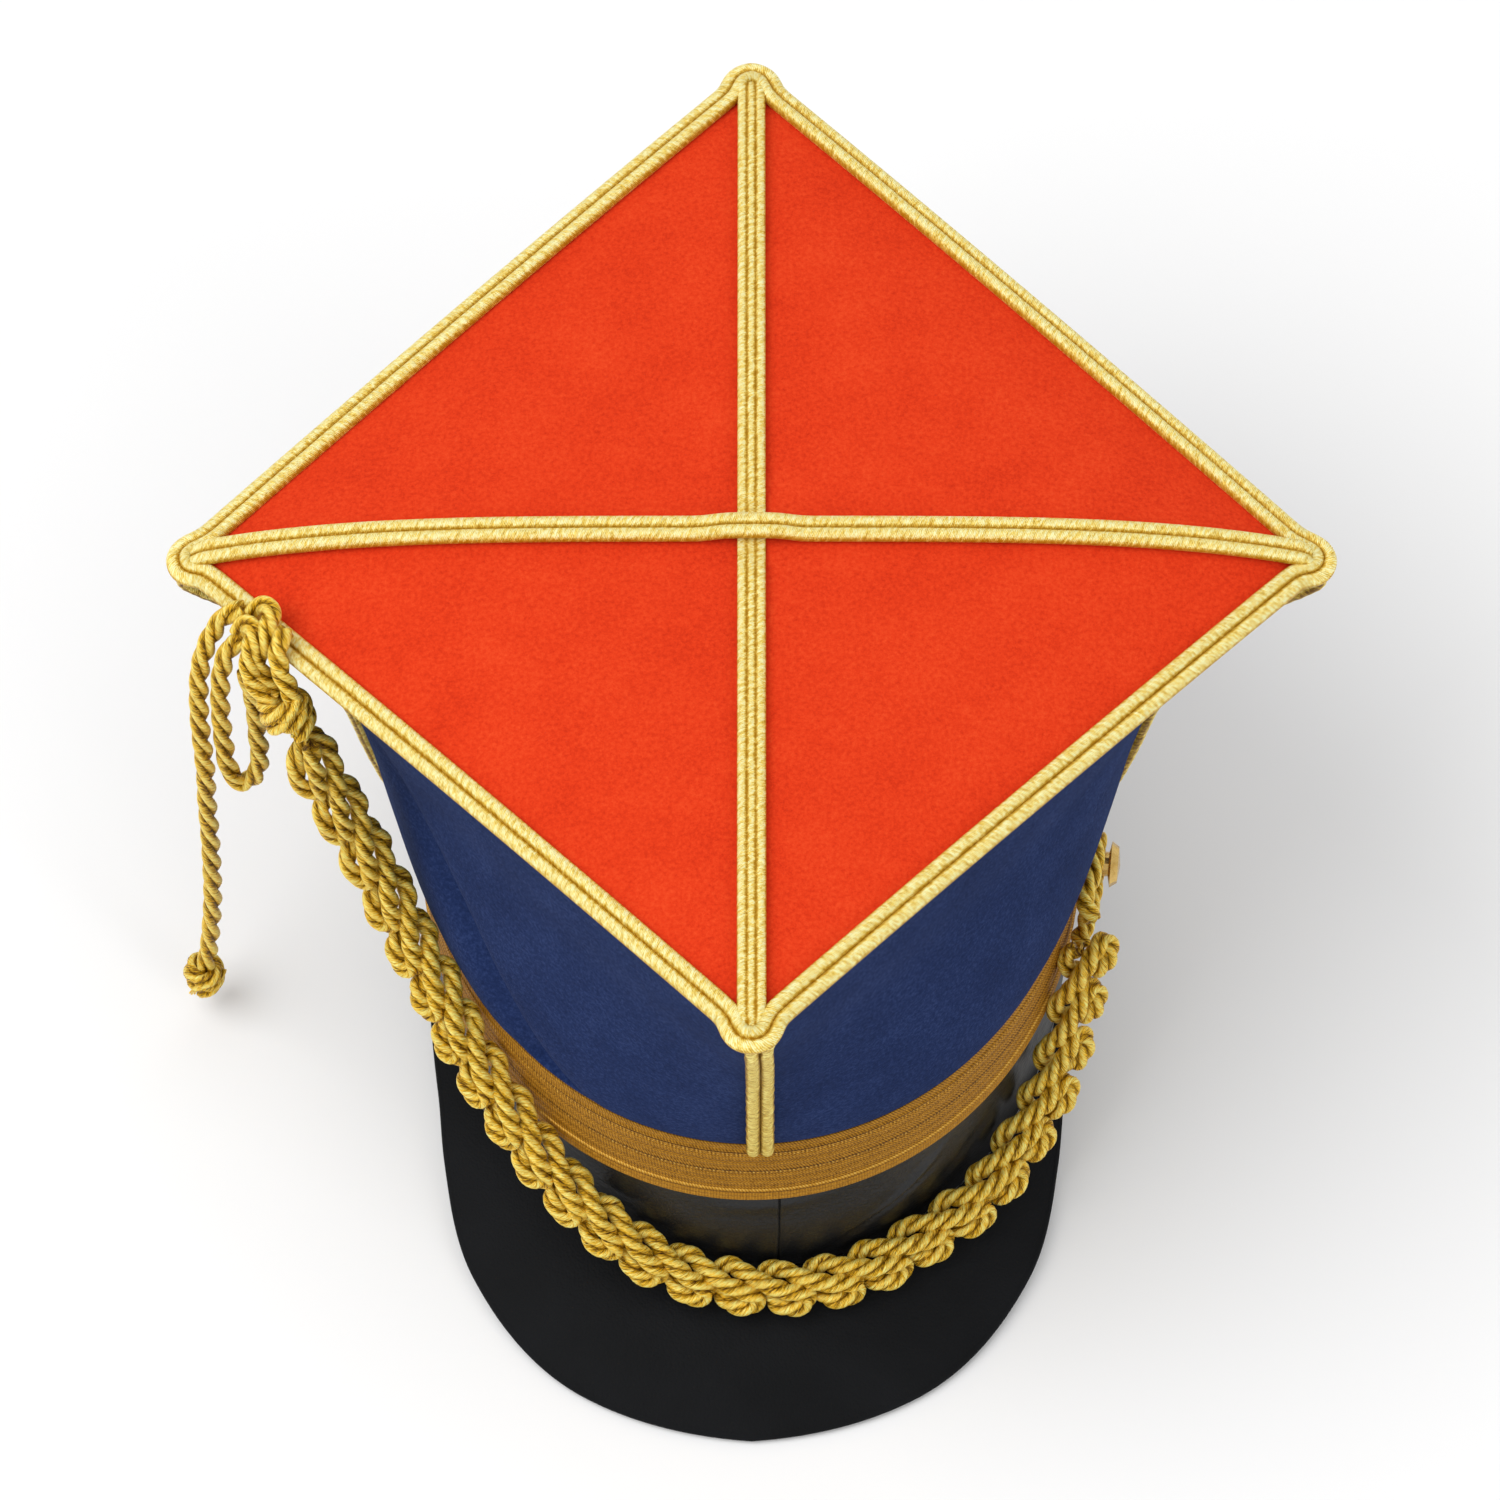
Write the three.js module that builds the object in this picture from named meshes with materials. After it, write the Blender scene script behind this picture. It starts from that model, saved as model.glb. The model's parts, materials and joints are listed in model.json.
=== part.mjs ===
import * as THREE from 'three';

// Square-topped dress cap with a visor, gold cords and a plaited festoon.
// Millimetres, +Z up, visor towards -Y. The cap stands on its visor tip and its back rim.
// Sizes of the cap itself are in its own upright frame, which the last lines lean back to rest.

// Headband: an oval, whose half sizes are taken outside
const OVAL_SIDE = 87.2;
const OVAL_FRONT = 104.7;
const OVAL_GROW = 3.4;
const LEATHER_TOP = 46.2;
const GALLOON_BOTTOM = 46.5;
const GALLOON_TOP = 76.5;
const GALLOON_WALL = 2.4;
const LEATHER_WALL = 2.5;
const FELT_WALL = 2.3;
const GAP = 0.35;

// Square top: its corners point forwards, back and to both sides
const TOP_CENTRE = 211.5;
const TOP_CORNER = 154;
const SIDE_DROOP = 15.4;
const FRONT_DROOP = 5;
const EDGE_BOW = 1.8;
const EAR_RADIUS = 7.5;
const BOARD_INSET = 4.5;
const BODY_INSET = 3;
const BOARD_THICKNESS = 3;

// Double cord: two ribs side by side
const RIB_RADIUS = 1.9;
const RIB_SPACING = 3.6;
const RIM_TILT = 0.3;
const FRONT_CORD_ASIDE = THREE.MathUtils.degToRad(1);

// Visor
const VISOR_SLOPE = THREE.MathUtils.degToRad(22);
const VISOR_THICKNESS = 2.6;
const VISOR_LIFT = 1.2;
const VISOR_SAG = 1.5;

const GOLD = 0xe6be3c;
const GALLOON_GOLD = 0xb97d1c;
const RED_FELT = 0xee4426;
const BLUE_FELT = 0x2f4270;
const BLACK_LEATHER = 0x1f1f1f;

// Felt body from the galloon up: half width at the side and front ridges, and the power of the
// section, from 2, an ellipse, to 1, a square standing on its corner
const BODY_LEVELS = [
  { up: 47, side: 87.2, front: 104.7, power: 2 },
  { up: 76.8, side: 87.2, front: 104.7, power: 2 },
  { up: 77.6, side: 89.8, front: 107.6, power: 2 },
  { up: 82, side: 92.8, front: 110, power: 1.94 },
  { up: 91, side: 96.5, front: 112.5, power: 1.82 },
  { up: 108, side: 101, front: 116.5, power: 1.62 },
  { up: 130, side: 105.8, front: 121.5, power: 1.42 },
  { up: 155, side: 114, front: 129, power: 1.22 },
  { up: 176, side: 126, front: 137.5, power: 1.1 },
  { up: 194, side: 140, front: 144, power: 1.02 },
  { up: 203, side: 147, front: 148, power: 1 },
];

// Visor width at each bearing from the front
const VISOR_WIDTHS = [
  { bearing: 0, width: 47 },
  { bearing: 20, width: 43.6 },
  { bearing: 40, width: 31.5 },
  { bearing: 55, width: 17 },
  { bearing: 65, width: 9.3 },
  { bearing: 75, width: 5.5 },
  { bearing: 82, width: 4 },
];

// Bearings from a corner, in degrees, where the cap's sections have their points
const CORNER_BEARINGS = [0, 1.1, 2.2, 3.3, 5.5, 12, 22, 33];
const SEGMENTS = [];
for (let corner = 0; corner < 4; corner += 1) {
  for (const bearing of CORNER_BEARINGS) SEGMENTS.push(corner * 90 + bearing);
  SEGMENTS.push(corner * 90 + 45);
  for (const bearing of CORNER_BEARINGS.slice(1).reverse()) SEGMENTS.push(corner * 90 + 90 - bearing);
}
const ROUND_ANGLES = SEGMENTS.map((degrees) => THREE.MathUtils.degToRad(degrees));

// Value of a table's column at a place along its first column, on a smooth curve through the rows
// that never passes beyond them
function tableValue(table, key, column, place) {
  const last = table.length - 1;
  let row = 0;
  while (row < last - 1 && table[row + 1][key] < place) row += 1;
  const steepness = (i) => (table[i + 1][column] - table[i][column]) / (table[i + 1][key] - table[i][key]);
  const slopeAt = (i) => {
    if (i === 0) return steepness(0);
    if (i === last) return steepness(last - 1);
    const [before, after] = [steepness(i - 1), steepness(i)];
    return before * after > 0 ? (2 * before * after) / (before + after) : 0;
  };
  const span = table[row + 1][key] - table[row][key];
  const t = THREE.MathUtils.clamp((place - table[row][key]) / span, 0, 1);
  const t2 = t * t;
  const t3 = t2 * t;
  return (
    (2 * t3 - 3 * t2 + 1) * table[row][column] +
    (t3 - 2 * t2 + t) * span * slopeAt(row) +
    (3 * t2 - 2 * t3) * table[row + 1][column] +
    (t3 - t2) * span * slopeAt(row + 1)
  );
}

// Radius of the oval or square section at an angle from the right-hand side
function sectionRadius(angle, side, front, power) {
  const across = Math.abs(Math.cos(angle)) / side;
  const along = Math.abs(Math.sin(angle)) / front;
  return (across ** power + along ** power) ** (-1 / power);
}

// Radius of the square top's outline, moved inwards by an inset: straight edges and round ears
function topRadius(angle, inset) {
  const edge = TOP_CORNER - inset * Math.SQRT2;
  const straight = edge / (Math.abs(Math.cos(angle)) + Math.abs(Math.sin(angle)));
  const off = angle - Math.round(angle / QUARTER) * QUARTER;
  const earCentre = TOP_CORNER - EAR_RADIUS;
  const earRadius = EAR_RADIUS - inset;
  const reach = earRadius ** 2 - (earCentre * Math.sin(off)) ** 2;
  if (earRadius <= 0 || reach <= 0) return straight;
  return Math.max(straight, earCentre * Math.cos(off) + Math.sqrt(reach));
}

// Height that the top loses towards its edges: least at the front and back corners, most at the sides
function droop(x, y) {
  const reach = Math.abs(x) + Math.abs(y);
  if (reach === 0) return 0;
  const sideways = (Math.abs(x) / reach) ** EDGE_BOW;
  return (FRONT_DROOP + (SIDE_DROOP - FRONT_DROOP) * sideways) * (reach / TOP_CORNER) ** 4;
}

function topHeight(x, y) {
  return TOP_CENTRE - droop(x, y);
}

const X = new THREE.Vector3(1, 0, 0);
const Y = new THREE.Vector3(0, 1, 0);
const QUARTER = Math.PI / 2;

function polar(radius, angle, height) {
  return new THREE.Vector3(radius * Math.cos(angle), radius * Math.sin(angle), height);
}

// Half sizes of the headband's oval at a height
function ovalAt(height, offset) {
  const grow = (OVAL_GROW * Math.min(height, GALLOON_BOTTOM)) / GALLOON_BOTTOM;
  return { side: OVAL_SIDE + grow + offset, front: OVAL_FRONT + grow + offset };
}

// Closed mesh from points and quads, with its faces turned outwards
function solid(points, quads) {
  const position = new Float32Array(points.flatMap((p) => [p.x, p.y, p.z]));
  const index = quads.flatMap((q) => (q.length === 3 ? q : [q[0], q[1], q[2], q[0], q[2], q[3]]));
  let volume = 0;
  for (let i = 0; i < index.length; i += 3) {
    const [a, b, c] = [points[index[i]], points[index[i + 1]], points[index[i + 2]]];
    volume += a.dot(b.clone().cross(c));
  }
  if (volume < 0) index.reverse();
  const geometry = new THREE.BufferGeometry();
  geometry.setAttribute('position', new THREE.BufferAttribute(position, 3));
  geometry.setIndex(index);
  return geometry;
}

// Triangles that fill a flat section, turned the way that its outline runs
function sectionFaces(section) {
  const normal = new THREE.Vector3();
  section.forEach((point, j) => normal.add(point.clone().cross(section[(j + 1) % section.length])));
  const across = section[1].clone().sub(section[0]).normalize();
  const up = normal.normalize().cross(across);
  const flat = section.map((point) => {
    const from = point.clone().sub(section[0]);
    return new THREE.Vector2(from.dot(across), from.dot(up));
  });
  return THREE.ShapeUtils.triangulateShape(flat, []);
}

// Solid from sections of equal point counts: joined in a ring, or with both ends closed
function loft(sections, ring) {
  const count = sections[0].length;
  const points = sections.flat();
  const quads = [];
  const spans = ring ? sections.length : sections.length - 1;
  for (let i = 0; i < spans; i += 1) {
    const next = ((i + 1) % sections.length) * count;
    for (let j = 0; j < count; j += 1) {
      const k = (j + 1) % count;
      quads.push([i * count + j, i * count + k, next + k, next + j]);
    }
  }
  if (!ring) {
    const last = points.length - count;
    for (const face of sectionFaces(sections[0])) quads.push(face.toReversed());
    for (const face of sectionFaces(sections.at(-1))) quads.push(face.map((j) => last + j));
  }
  return solid(points, quads);
}

// Points of a double cord's section, across and up from its middle, for one turn of the outline
const CORD_SIDES = 8;
function cordSection(centre, across, up, flatten = 1, narrow = 1) {
  const points = [];
  for (let j = 0; j < CORD_SIDES; j += 1) {
    const turn = (2 * Math.PI * j) / CORD_SIDES;
    const half = RIB_SPACING / 2;
    const reach = half * Math.abs(Math.cos(turn)) + Math.sqrt(RIB_RADIUS ** 2 - (half * Math.sin(turn)) ** 2);
    const point = centre.clone();
    point.addScaledVector(across, reach * Math.cos(turn) * narrow);
    point.addScaledVector(up, reach * Math.sin(turn) * flatten);
    points.push(point);
  }
  return points;
}

// Flat red top: a domed board of even thickness
function crownTop() {
  const upper = [0.25, 0.5, 0.72, 0.88, 1].map((share) => ({ share, drop: 0 }));
  const lower = [1, 0.88, 0.5].map((share) => ({ share, drop: BOARD_THICKNESS }));
  const rings = [...upper, ...lower].map(({ share, drop }) =>
    ROUND_ANGLES.map((angle) => {
      const point = polar(share * topRadius(angle, BOARD_INSET), angle, 0);
      return point.setZ(topHeight(point.x, point.y) - drop);
    }),
  );
  return loft(rings, false);
}

// Slack valley in the felt of the left front panel, from under the top down to the galloon
const FOLD = { topAngle: 191, bottomAngle: 238, topUp: 160, bottomUp: 79, width: 5, depth: 5 };
function foldDepth(angle, up) {
  const share = (FOLD.topUp - up) / (FOLD.topUp - FOLD.bottomUp);
  if (share <= 0) return 0;
  const middle = FOLD.topAngle + (FOLD.bottomAngle - FOLD.topAngle) * Math.min(share, 1);
  const off = (THREE.MathUtils.radToDeg(angle) - middle) / FOLD.width;
  const fade = Math.min(share * 2, 1) * (up < FOLD.bottomUp ? 0 : 1);
  return FOLD.depth * fade * Math.exp(-off * off);
}

// Outside of the felt body at an angle and a height before the droop
const BODY_TOP = TOP_CENTRE - BOARD_THICKNESS - GAP;
function bodyPoint(angle, up, inset) {
  const highest = BODY_LEVELS[BODY_LEVELS.length - 1].up;
  let radius = topRadius(angle, BODY_INSET);
  if (up <= highest) {
    const [side, front, power] = ['side', 'front', 'power'].map((column) =>
      tableValue(BODY_LEVELS, 'up', column, up),
    );
    radius = sectionRadius(angle, side, front, power) - foldDepth(angle, up);
  }
  const point = polar(radius - inset, angle, 0);
  const lowered = THREE.MathUtils.clamp((up - GALLOON_TOP) / (BODY_TOP - GALLOON_TOP), 0, 1) ** 2;
  point.z = up - droop(radius * Math.cos(angle), radius * Math.sin(angle)) * lowered;
  return point;
}

// One of the four felt panels, between two ridges: their seams lie under the cords of the ridges
const BODY_INSIDE_UPS = [BODY_TOP, 201, 176, 155, 130, 108, 80, 74, 47];
const SEAM_HALF = THREE.MathUtils.degToRad(0.1);
function bodyPanel(ridge) {
  const ups = [...BODY_LEVELS.map((row) => row.up), BODY_TOP];
  const [first, last] = [ridge + SEAM_HALF, ridge + QUARTER - SEAM_HALF];
  const within = ROUND_ANGLES.filter((angle) => angle > first && angle < last);
  const sections = [first, ...within, last].map((angle) => [
    ...ups.map((up) => bodyPoint(angle, up, 0)),
    ...BODY_INSIDE_UPS.map((up) => bodyPoint(angle, up, FELT_WALL)),
  ]);
  return loft(sections, false);
}

// Ring that follows the oval, from a table of offsets outwards and heights
const OVAL_STEPS = 64;
function ovalRing(profile) {
  const sections = [];
  for (let i = 0; i < OVAL_STEPS; i += 1) {
    const angle = (2 * Math.PI * i) / OVAL_STEPS;
    sections.push(
      profile.map(({ out, up }) => {
        const oval = ovalAt(up, out);
        return new THREE.Vector3(oval.side * Math.cos(angle), oval.front * Math.sin(angle), up);
      }),
    );
  }
  return loft(sections, true);
}

const GALLOON_PROFILE = [
  { out: -0.3, up: GALLOON_BOTTOM },
  { out: 0.5, up: GALLOON_BOTTOM + 1.6 },
  { out: 0, up: GALLOON_BOTTOM + 3.5 },
  { out: -0.2, up: GALLOON_TOP - 3.2 },
  { out: 0.3, up: GALLOON_TOP - 1.5 },
  { out: -0.6, up: GALLOON_TOP },
  { out: -GALLOON_WALL - 0.5, up: GALLOON_TOP },
  { out: -GALLOON_WALL - 0.5, up: GALLOON_BOTTOM },
];

const LEATHER_PROFILE = [
  { out: -0.4, up: 0 },
  { out: 0.4, up: 3 },
  { out: 0.3, up: 24 },
  { out: -1.2, up: 38 },
  { out: -2, up: LEATHER_TOP },
  { out: -2 - LEATHER_WALL, up: LEATHER_TOP },
  { out: 0.3 - LEATHER_WALL, up: 24 },
  { out: -0.4 - LEATHER_WALL, up: 0 },
];

// Double cord round the edge of the top: the inner rib lies on the board, the outer one below it
function rimCord() {
  const middle = RIB_RADIUS + RIB_SPACING / 2;
  const sections = ROUND_ANGLES.map((angle) => {
    const outside = polar(topRadius(angle, 0), angle, 0);
    const inside = polar(topRadius(angle, 2 * middle), angle, 0);
    const centre = polar(topRadius(angle, middle), angle, 0);
    centre.z = topHeight(centre.x, centre.y) + RIB_RADIUS + GAP + 0.2;
    const across = outside.sub(inside).normalize();
    const up = new THREE.Vector3(0, 0, 1);
    const tilted = across.clone().multiplyScalar(Math.cos(RIM_TILT)).addScaledVector(up, -Math.sin(RIM_TILT));
    const lifted = up.clone().multiplyScalar(Math.cos(RIM_TILT)).addScaledVector(across, Math.sin(RIM_TILT));
    return cordSection(centre, tilted, lifted);
  });
  return loft(sections, true);
}

// Double cords that cross on the top. The one from front to back is pressed flat where the other
// passes over it.
const CROSS_REACH = topRadius(0, 2 * RIB_RADIUS + RIB_SPACING) - 2 * GAP;
const CROSS_SHARES = [0, 0.03, 0.055, 0.3, 0.55, 0.75, 0.9, 0.965, 1];
const CROSS_PLACES = [...CROSS_SHARES.slice(1).reverse().map((share) => -share), ...CROSS_SHARES];
const CROSS_FLAT = 0.35;
const CROSS_TIP = 0.12;
function crossCord(along, across, over) {
  const sections = CROSS_PLACES.map((share) => {
    const centre = along.clone().multiplyScalar(share * CROSS_REACH);
    const crossing = Math.abs(share) < 0.04;
    const flat = crossing && !over ? CROSS_FLAT : 1;
    const passOver = crossing && over ? 2 * RIB_RADIUS * CROSS_FLAT + GAP : 0;
    centre.z = topHeight(centre.x, centre.y) + RIB_RADIUS * flat + GAP + passOver;
    const narrow = Math.abs(share) === 1 ? CROSS_TIP : 1;
    return cordSection(centre, across, new THREE.Vector3(0, 0, 1), flat, narrow);
  });
  return loft(sections, false);
}

// Double cord down one ridge of the body, from the top's edge to the galloon, where it stands aside
// of the ridge by an angle
const EDGE_UPS = [GALLOON_TOP + 1.6, 83, 91, 108, 130, 155, 176, 194, 203, BODY_TOP - 1];
const RIDGE_HALF = THREE.MathUtils.degToRad(2);
function edgeCord(ridge, aside) {
  const angles = EDGE_UPS.map((up) => ridge + (aside * (BODY_TOP - up)) / (BODY_TOP - GALLOON_TOP));
  const points = EDGE_UPS.map((up, i) => bodyPoint(angles[i], up, 0));
  const sections = points.map((point, i) => {
    const before = points[Math.max(i - 1, 0)];
    const after = points[Math.min(i + 1, points.length - 1)];
    const along = after.clone().sub(before).normalize();
    const across = bodyPoint(angles[i] + RIDGE_HALF, EDGE_UPS[i], 0);
    across.sub(bodyPoint(angles[i] - RIDGE_HALF, EDGE_UPS[i], 0)).normalize();
    const normal = across.clone().cross(along).normalize();
    return cordSection(point.clone().addScaledVector(normal, RIB_RADIUS + GAP), across, normal);
  });
  return loft(sections, false);
}

// Visor: a crescent of even thickness that slopes down from the headband's lower edge
const VISOR_HALF_ANGLE = 82;
const VISOR_STEPS = 40;
const VISOR_SHARES = [0, 0.3, 0.6, 0.85, 1];
function visor() {
  const sections = [];
  for (let i = 0; i <= VISOR_STEPS; i += 1) {
    const bearing = VISOR_HALF_ANGLE * ((2 * i) / VISOR_STEPS - 1);
    const turn = THREE.MathUtils.degToRad(bearing);
    const oval = ovalAt(0, 0.2 + GAP);
    const start = new THREE.Vector3(oval.side * Math.sin(turn), -oval.front * Math.cos(turn), VISOR_LIFT);
    const outwards = new THREE.Vector3(start.x / oval.side ** 2, start.y / oval.front ** 2, 0).normalize();
    const width = tableValue(VISOR_WIDTHS, 'bearing', 'width', Math.abs(bearing));
    const top = VISOR_SHARES.map((share) => {
      const point = start.clone().addScaledVector(outwards, share * width * Math.cos(VISOR_SLOPE));
      point.z -= share * width * Math.sin(VISOR_SLOPE) - VISOR_SAG * Math.sin(Math.PI * share) * (width / 50);
      return point;
    });
    const under = top.toReversed().map((point) => point.clone().setZ(point.z - VISOR_THICKNESS));
    sections.push([...top, ...under]);
  }
  return loft(sections, false);
}

// Button on the galloon's right side, hidden from the front, that the festoon's loop hangs on
const HOOK_BEARING = THREE.MathUtils.degToRad(-6.4);
const HOOK_UP = 64;
const HOOK_PROFILE = [
  { radius: 0, out: 0 },
  { radius: 3.4, out: 0 },
  { radius: 3.4, out: 7.8 },
  { radius: 6.4, out: 8.4 },
  { radius: 5, out: 10.4 },
  { radius: 0, out: 11 },
];
function cordHook() {
  const oval = ovalAt(HOOK_UP, GAP);
  const direction = new THREE.Vector3(
    Math.cos(HOOK_BEARING) / oval.side,
    Math.sin(HOOK_BEARING) / oval.front,
    0,
  ).normalize();
  const seat = polar(1, HOOK_BEARING, HOOK_UP).multiply(new THREE.Vector3(oval.side, oval.front, 1));
  const profile = HOOK_PROFILE.map(({ radius, out }) => new THREE.Vector2(radius, out));
  const geometry = new THREE.LatheGeometry(profile, 12);
  geometry.applyQuaternion(new THREE.Quaternion().setFromUnitVectors(Y, direction));
  return geometry.translate(seat.x, seat.y, seat.z);
}

// Free cords, as they hang on the resting cap. A route's points are x, y, z.
const TWIST_DIAMETER = 5.3;
const PLAIT_DIAMETER = 14.4;

const PLAIT_ROUTE = [
  [-119.1, -37.1, 187.1],
  [-117, -37.5, 179],
  [-113.9, -37.7, 166],
  [-109.8, -38.8, 150],
  [-105.2, -40.4, 133],
  [-99.4, -44.6, 115],
  [-92.2, -53.8, 99.5],
  [-85.3, -64.1, 91],
  [-78, -76.2, 82.7],
  [-69.8, -87.2, 74.5],
  [-62.8, -95.4, 67],
  [-55.3, -102.6, 58],
  [-44, -110.9, 46],
  [-30.5, -117.4, 35],
  [-14.1, -121.7, 26.5],
  [2.3, -123.3, 24],
  [18.8, -121.7, 23],
  [35.3, -115.5, 22.5],
  [51.9, -104.9, 23],
  [64.3, -96, 26],
  [71.8, -86.4, 29.5],
  [78.4, -76.9, 34],
  [83.1, -69.3, 40.5],
  [86.7, -61, 50],
  [89.4, -54.2, 62.5],
  [91.7, -47.2, 72],
  [93.8, -41.4, 77.5],
];

const HANGING_ROUTE = [
  [-132.1, -14.7, 215.8],
  [-134.4, -14.9, 215.2],
  [-137, -15.1, 212.7],
  [-139.6, -15.8, 208],
  [-142.2, -18.2, 203],
  [-144.4, -20.5, 194],
  [-145.4, -22, 182],
  [-145.8, -23.5, 169.6],
  [-145.8, -24, 156.1],
  [-145.8, -24.5, 141.3],
  [-146.4, -24.5, 125.3],
  [-146.7, -24.5, 107.2],
  [-147.3, -24.5, 85.9],
  [-148.3, -24.5, 64.2],
  [-150.5, -24.5, 38.9],
  [-152.5, -24.5, 23.6],
];

const LOOP_ROUTE = [
  [-131.1, -20.9, 209.3],
  [-134, -20.7, 209],
  [-136.6, -22, 205.5],
  [-138.5, -23.4, 197.5],
  [-139.6, -24.4, 183.6],
  [-139.9, -24.6, 170.5],
  [-139.9, -24.6, 156],
  [-139.3, -24.5, 143.2],
  [-136.5, -24.4, 136.1],
  [-132.8, -24.3, 139.7],
  [-130.9, -24.2, 149.7],
  [-130.8, -24.2, 162.5],
  [-130.6, -24.5, 176.3],
  [-130.9, -25.2, 190.2],
  [-131.7, -26.2, 202],
];

const HOOK_LOOP_ROUTE = [
  [93.4, -38.6, 80.8],
  [91.4, -35.6, 82.8],
  [91.2, -31, 83],
  [93.2, -25.1, 81.2],
  [94.6, -16.2, 79.4],
  [95, -12, 77.3],
  [95, -10, 72],
  [95, -12.8, 67.5],
  [94.7, -17.3, 65.5],
  [93.6, -25.3, 65.3],
  [91.6, -33.3, 65.7],
  [90.2, -37.2, 66.2],
  [91.1, -40, 66.4],
];

function tube(route, diameter, sides, steps) {
  const path = new THREE.CatmullRomCurve3(route.map((point) => new THREE.Vector3(...point)));
  const outline = [];
  for (let j = 0; j < sides; j += 1) {
    const turn = (2 * Math.PI * j) / sides;
    outline.push(new THREE.Vector2(Math.cos(turn), Math.sin(turn)).multiplyScalar(diameter / 2));
  }
  return new THREE.ExtrudeGeometry(new THREE.Shape(outline), { steps, extrudePath: path });
}

// Knot that is slung over the rim, from there down to the plait
const KNOT_SIDES = 10;
const KNOT_SECTIONS = [
  { x: -125.7, y: -14.3, z: 216.9, radius: 2.3 },
  { x: -127.8, y: -18.7, z: 218.5, radius: 3.2 },
  { x: -128.8, y: -24.6, z: 215.8, radius: 3.2 },
  { x: -127, y: -27.4, z: 208, radius: 4 },
  { x: -122.9, y: -30.1, z: 201, radius: 6.4 },
  { x: -121, y: -35.6, z: 195.4, radius: 7.2 },
  { x: -119.4, y: -36.9, z: 188.6, radius: 6.6 },
];
function cornerKnot() {
  const centres = KNOT_SECTIONS.map(({ x, y, z }) => new THREE.Vector3(x, y, z));
  const last = centres.length - 1;
  const sections = centres.map((centre, i) => {
    const along = centres[Math.min(i + 1, last)].clone().sub(centres[Math.max(i - 1, 0)]).normalize();
    const across = Y.clone().cross(along).cross(along).normalize();
    const aside = along.clone().cross(across);
    const points = [];
    for (let j = 0; j < KNOT_SIDES; j += 1) {
      const turn = (2 * Math.PI * j) / KNOT_SIDES;
      const point = centre.clone().addScaledVector(across, KNOT_SECTIONS[i].radius * Math.cos(turn));
      points.push(point.addScaledVector(aside, KNOT_SECTIONS[i].radius * Math.sin(turn)));
    }
    return points;
  });
  return loft(sections, false);
}

// Knot with a frayed tip at the hanging cord's lower end
const END_KNOT_PROFILE = [
  { radius: 0, down: 0 },
  { radius: 3.6, down: 0.6 },
  { radius: 6, down: 3.6 },
  { radius: 6.1, down: 7 },
  { radius: 4.4, down: 10.6 },
  { radius: 3.6, down: 12.6 },
  { radius: 4.2, down: 16.4 },
  { radius: 0, down: 17 },
];
function endKnot() {
  const end = new THREE.Vector3(...HANGING_ROUTE.at(-1));
  const along = end.clone().sub(new THREE.Vector3(...HANGING_ROUTE.at(-2))).normalize();
  const start = end.addScaledVector(along, GAP);
  const profile = END_KNOT_PROFILE.map(({ radius, down }) => new THREE.Vector2(radius, down));
  const geometry = new THREE.LatheGeometry(profile, 10);
  geometry.applyQuaternion(new THREE.Quaternion().setFromUnitVectors(Y, along));
  return geometry.translate(start.x, start.y, start.z);
}

function piece(name, geometry, color, roughness, metalness = 0) {
  const mesh = new THREE.Mesh(geometry, new THREE.MeshStandardMaterial({ color, roughness, metalness }));
  mesh.name = name;
  return mesh;
}

const cap = new THREE.Group();
cap.add(piece('crown_top', crownTop(), RED_FELT, 0.95));
for (const [quarter, side] of ['back_right', 'back_left', 'front_left', 'front_right'].entries()) {
  cap.add(piece(`crown_panel_${side}`, bodyPanel(quarter * QUARTER), BLUE_FELT, 0.95));
}
cap.add(piece('gold_band', ovalRing(GALLOON_PROFILE), GALLOON_GOLD, 0.5, 0.4));
cap.add(piece('leather_band', ovalRing(LEATHER_PROFILE), BLACK_LEATHER, 0.5));
cap.add(piece('visor', visor(), BLACK_LEATHER, 0.45));
cap.add(piece('rim_cord', rimCord(), GOLD, 0.45, 0.5));
cap.add(piece('cross_cord_side', crossCord(X, Y, true), GOLD, 0.45, 0.5));
cap.add(piece('cross_cord_front', crossCord(Y, X, false), GOLD, 0.45, 0.5));
for (const [quarter, side] of ['right', 'back', 'left', 'front'].entries()) {
  const aside = side === 'front' ? FRONT_CORD_ASIDE : 0;
  cap.add(piece(`edge_cord_${side}`, edgeCord(quarter * QUARTER, aside), GOLD, 0.45, 0.5));
}
cap.add(piece('cord_hook', cordHook(), GOLD, 0.4, 0.8));

// The cap leans back until its visor tip and its back rim stand on the surface
const tipReach = VISOR_WIDTHS[0].width * Math.cos(VISOR_SLOPE);
const tipDrop = VISOR_WIDTHS[0].width * Math.sin(VISOR_SLOPE) + VISOR_THICKNESS - VISOR_LIFT;
const LEAN = Math.atan2(tipDrop, 2 * OVAL_FRONT + tipReach);
cap.rotation.x = -LEAN;
const box = new THREE.Box3().setFromObject(cap, true);
cap.position.set(0, -(box.min.y + box.max.y) / 2, -box.min.z);

const hat = new THREE.Group();
hat.add(cap);
hat.add(piece('corner_knot', cornerKnot(), GOLD, 0.45, 0.5));
hat.add(piece('festoon_plait', tube(PLAIT_ROUTE, PLAIT_DIAMETER, 10, 30), GOLD, 0.45, 0.5));
hat.add(piece('hook_loop', tube(HOOK_LOOP_ROUTE, TWIST_DIAMETER, 8, 14), GOLD, 0.45, 0.5));
hat.add(piece('hanging_loop', tube(LOOP_ROUTE, TWIST_DIAMETER, 8, 18), GOLD, 0.45, 0.5));
hat.add(piece('hanging_cord', tube(HANGING_ROUTE, TWIST_DIAMETER, 8, 20), GOLD, 0.45, 0.5));
hat.add(piece('cord_end_knot', endKnot(), GOLD, 0.45, 0.5));
export default hat;
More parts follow.
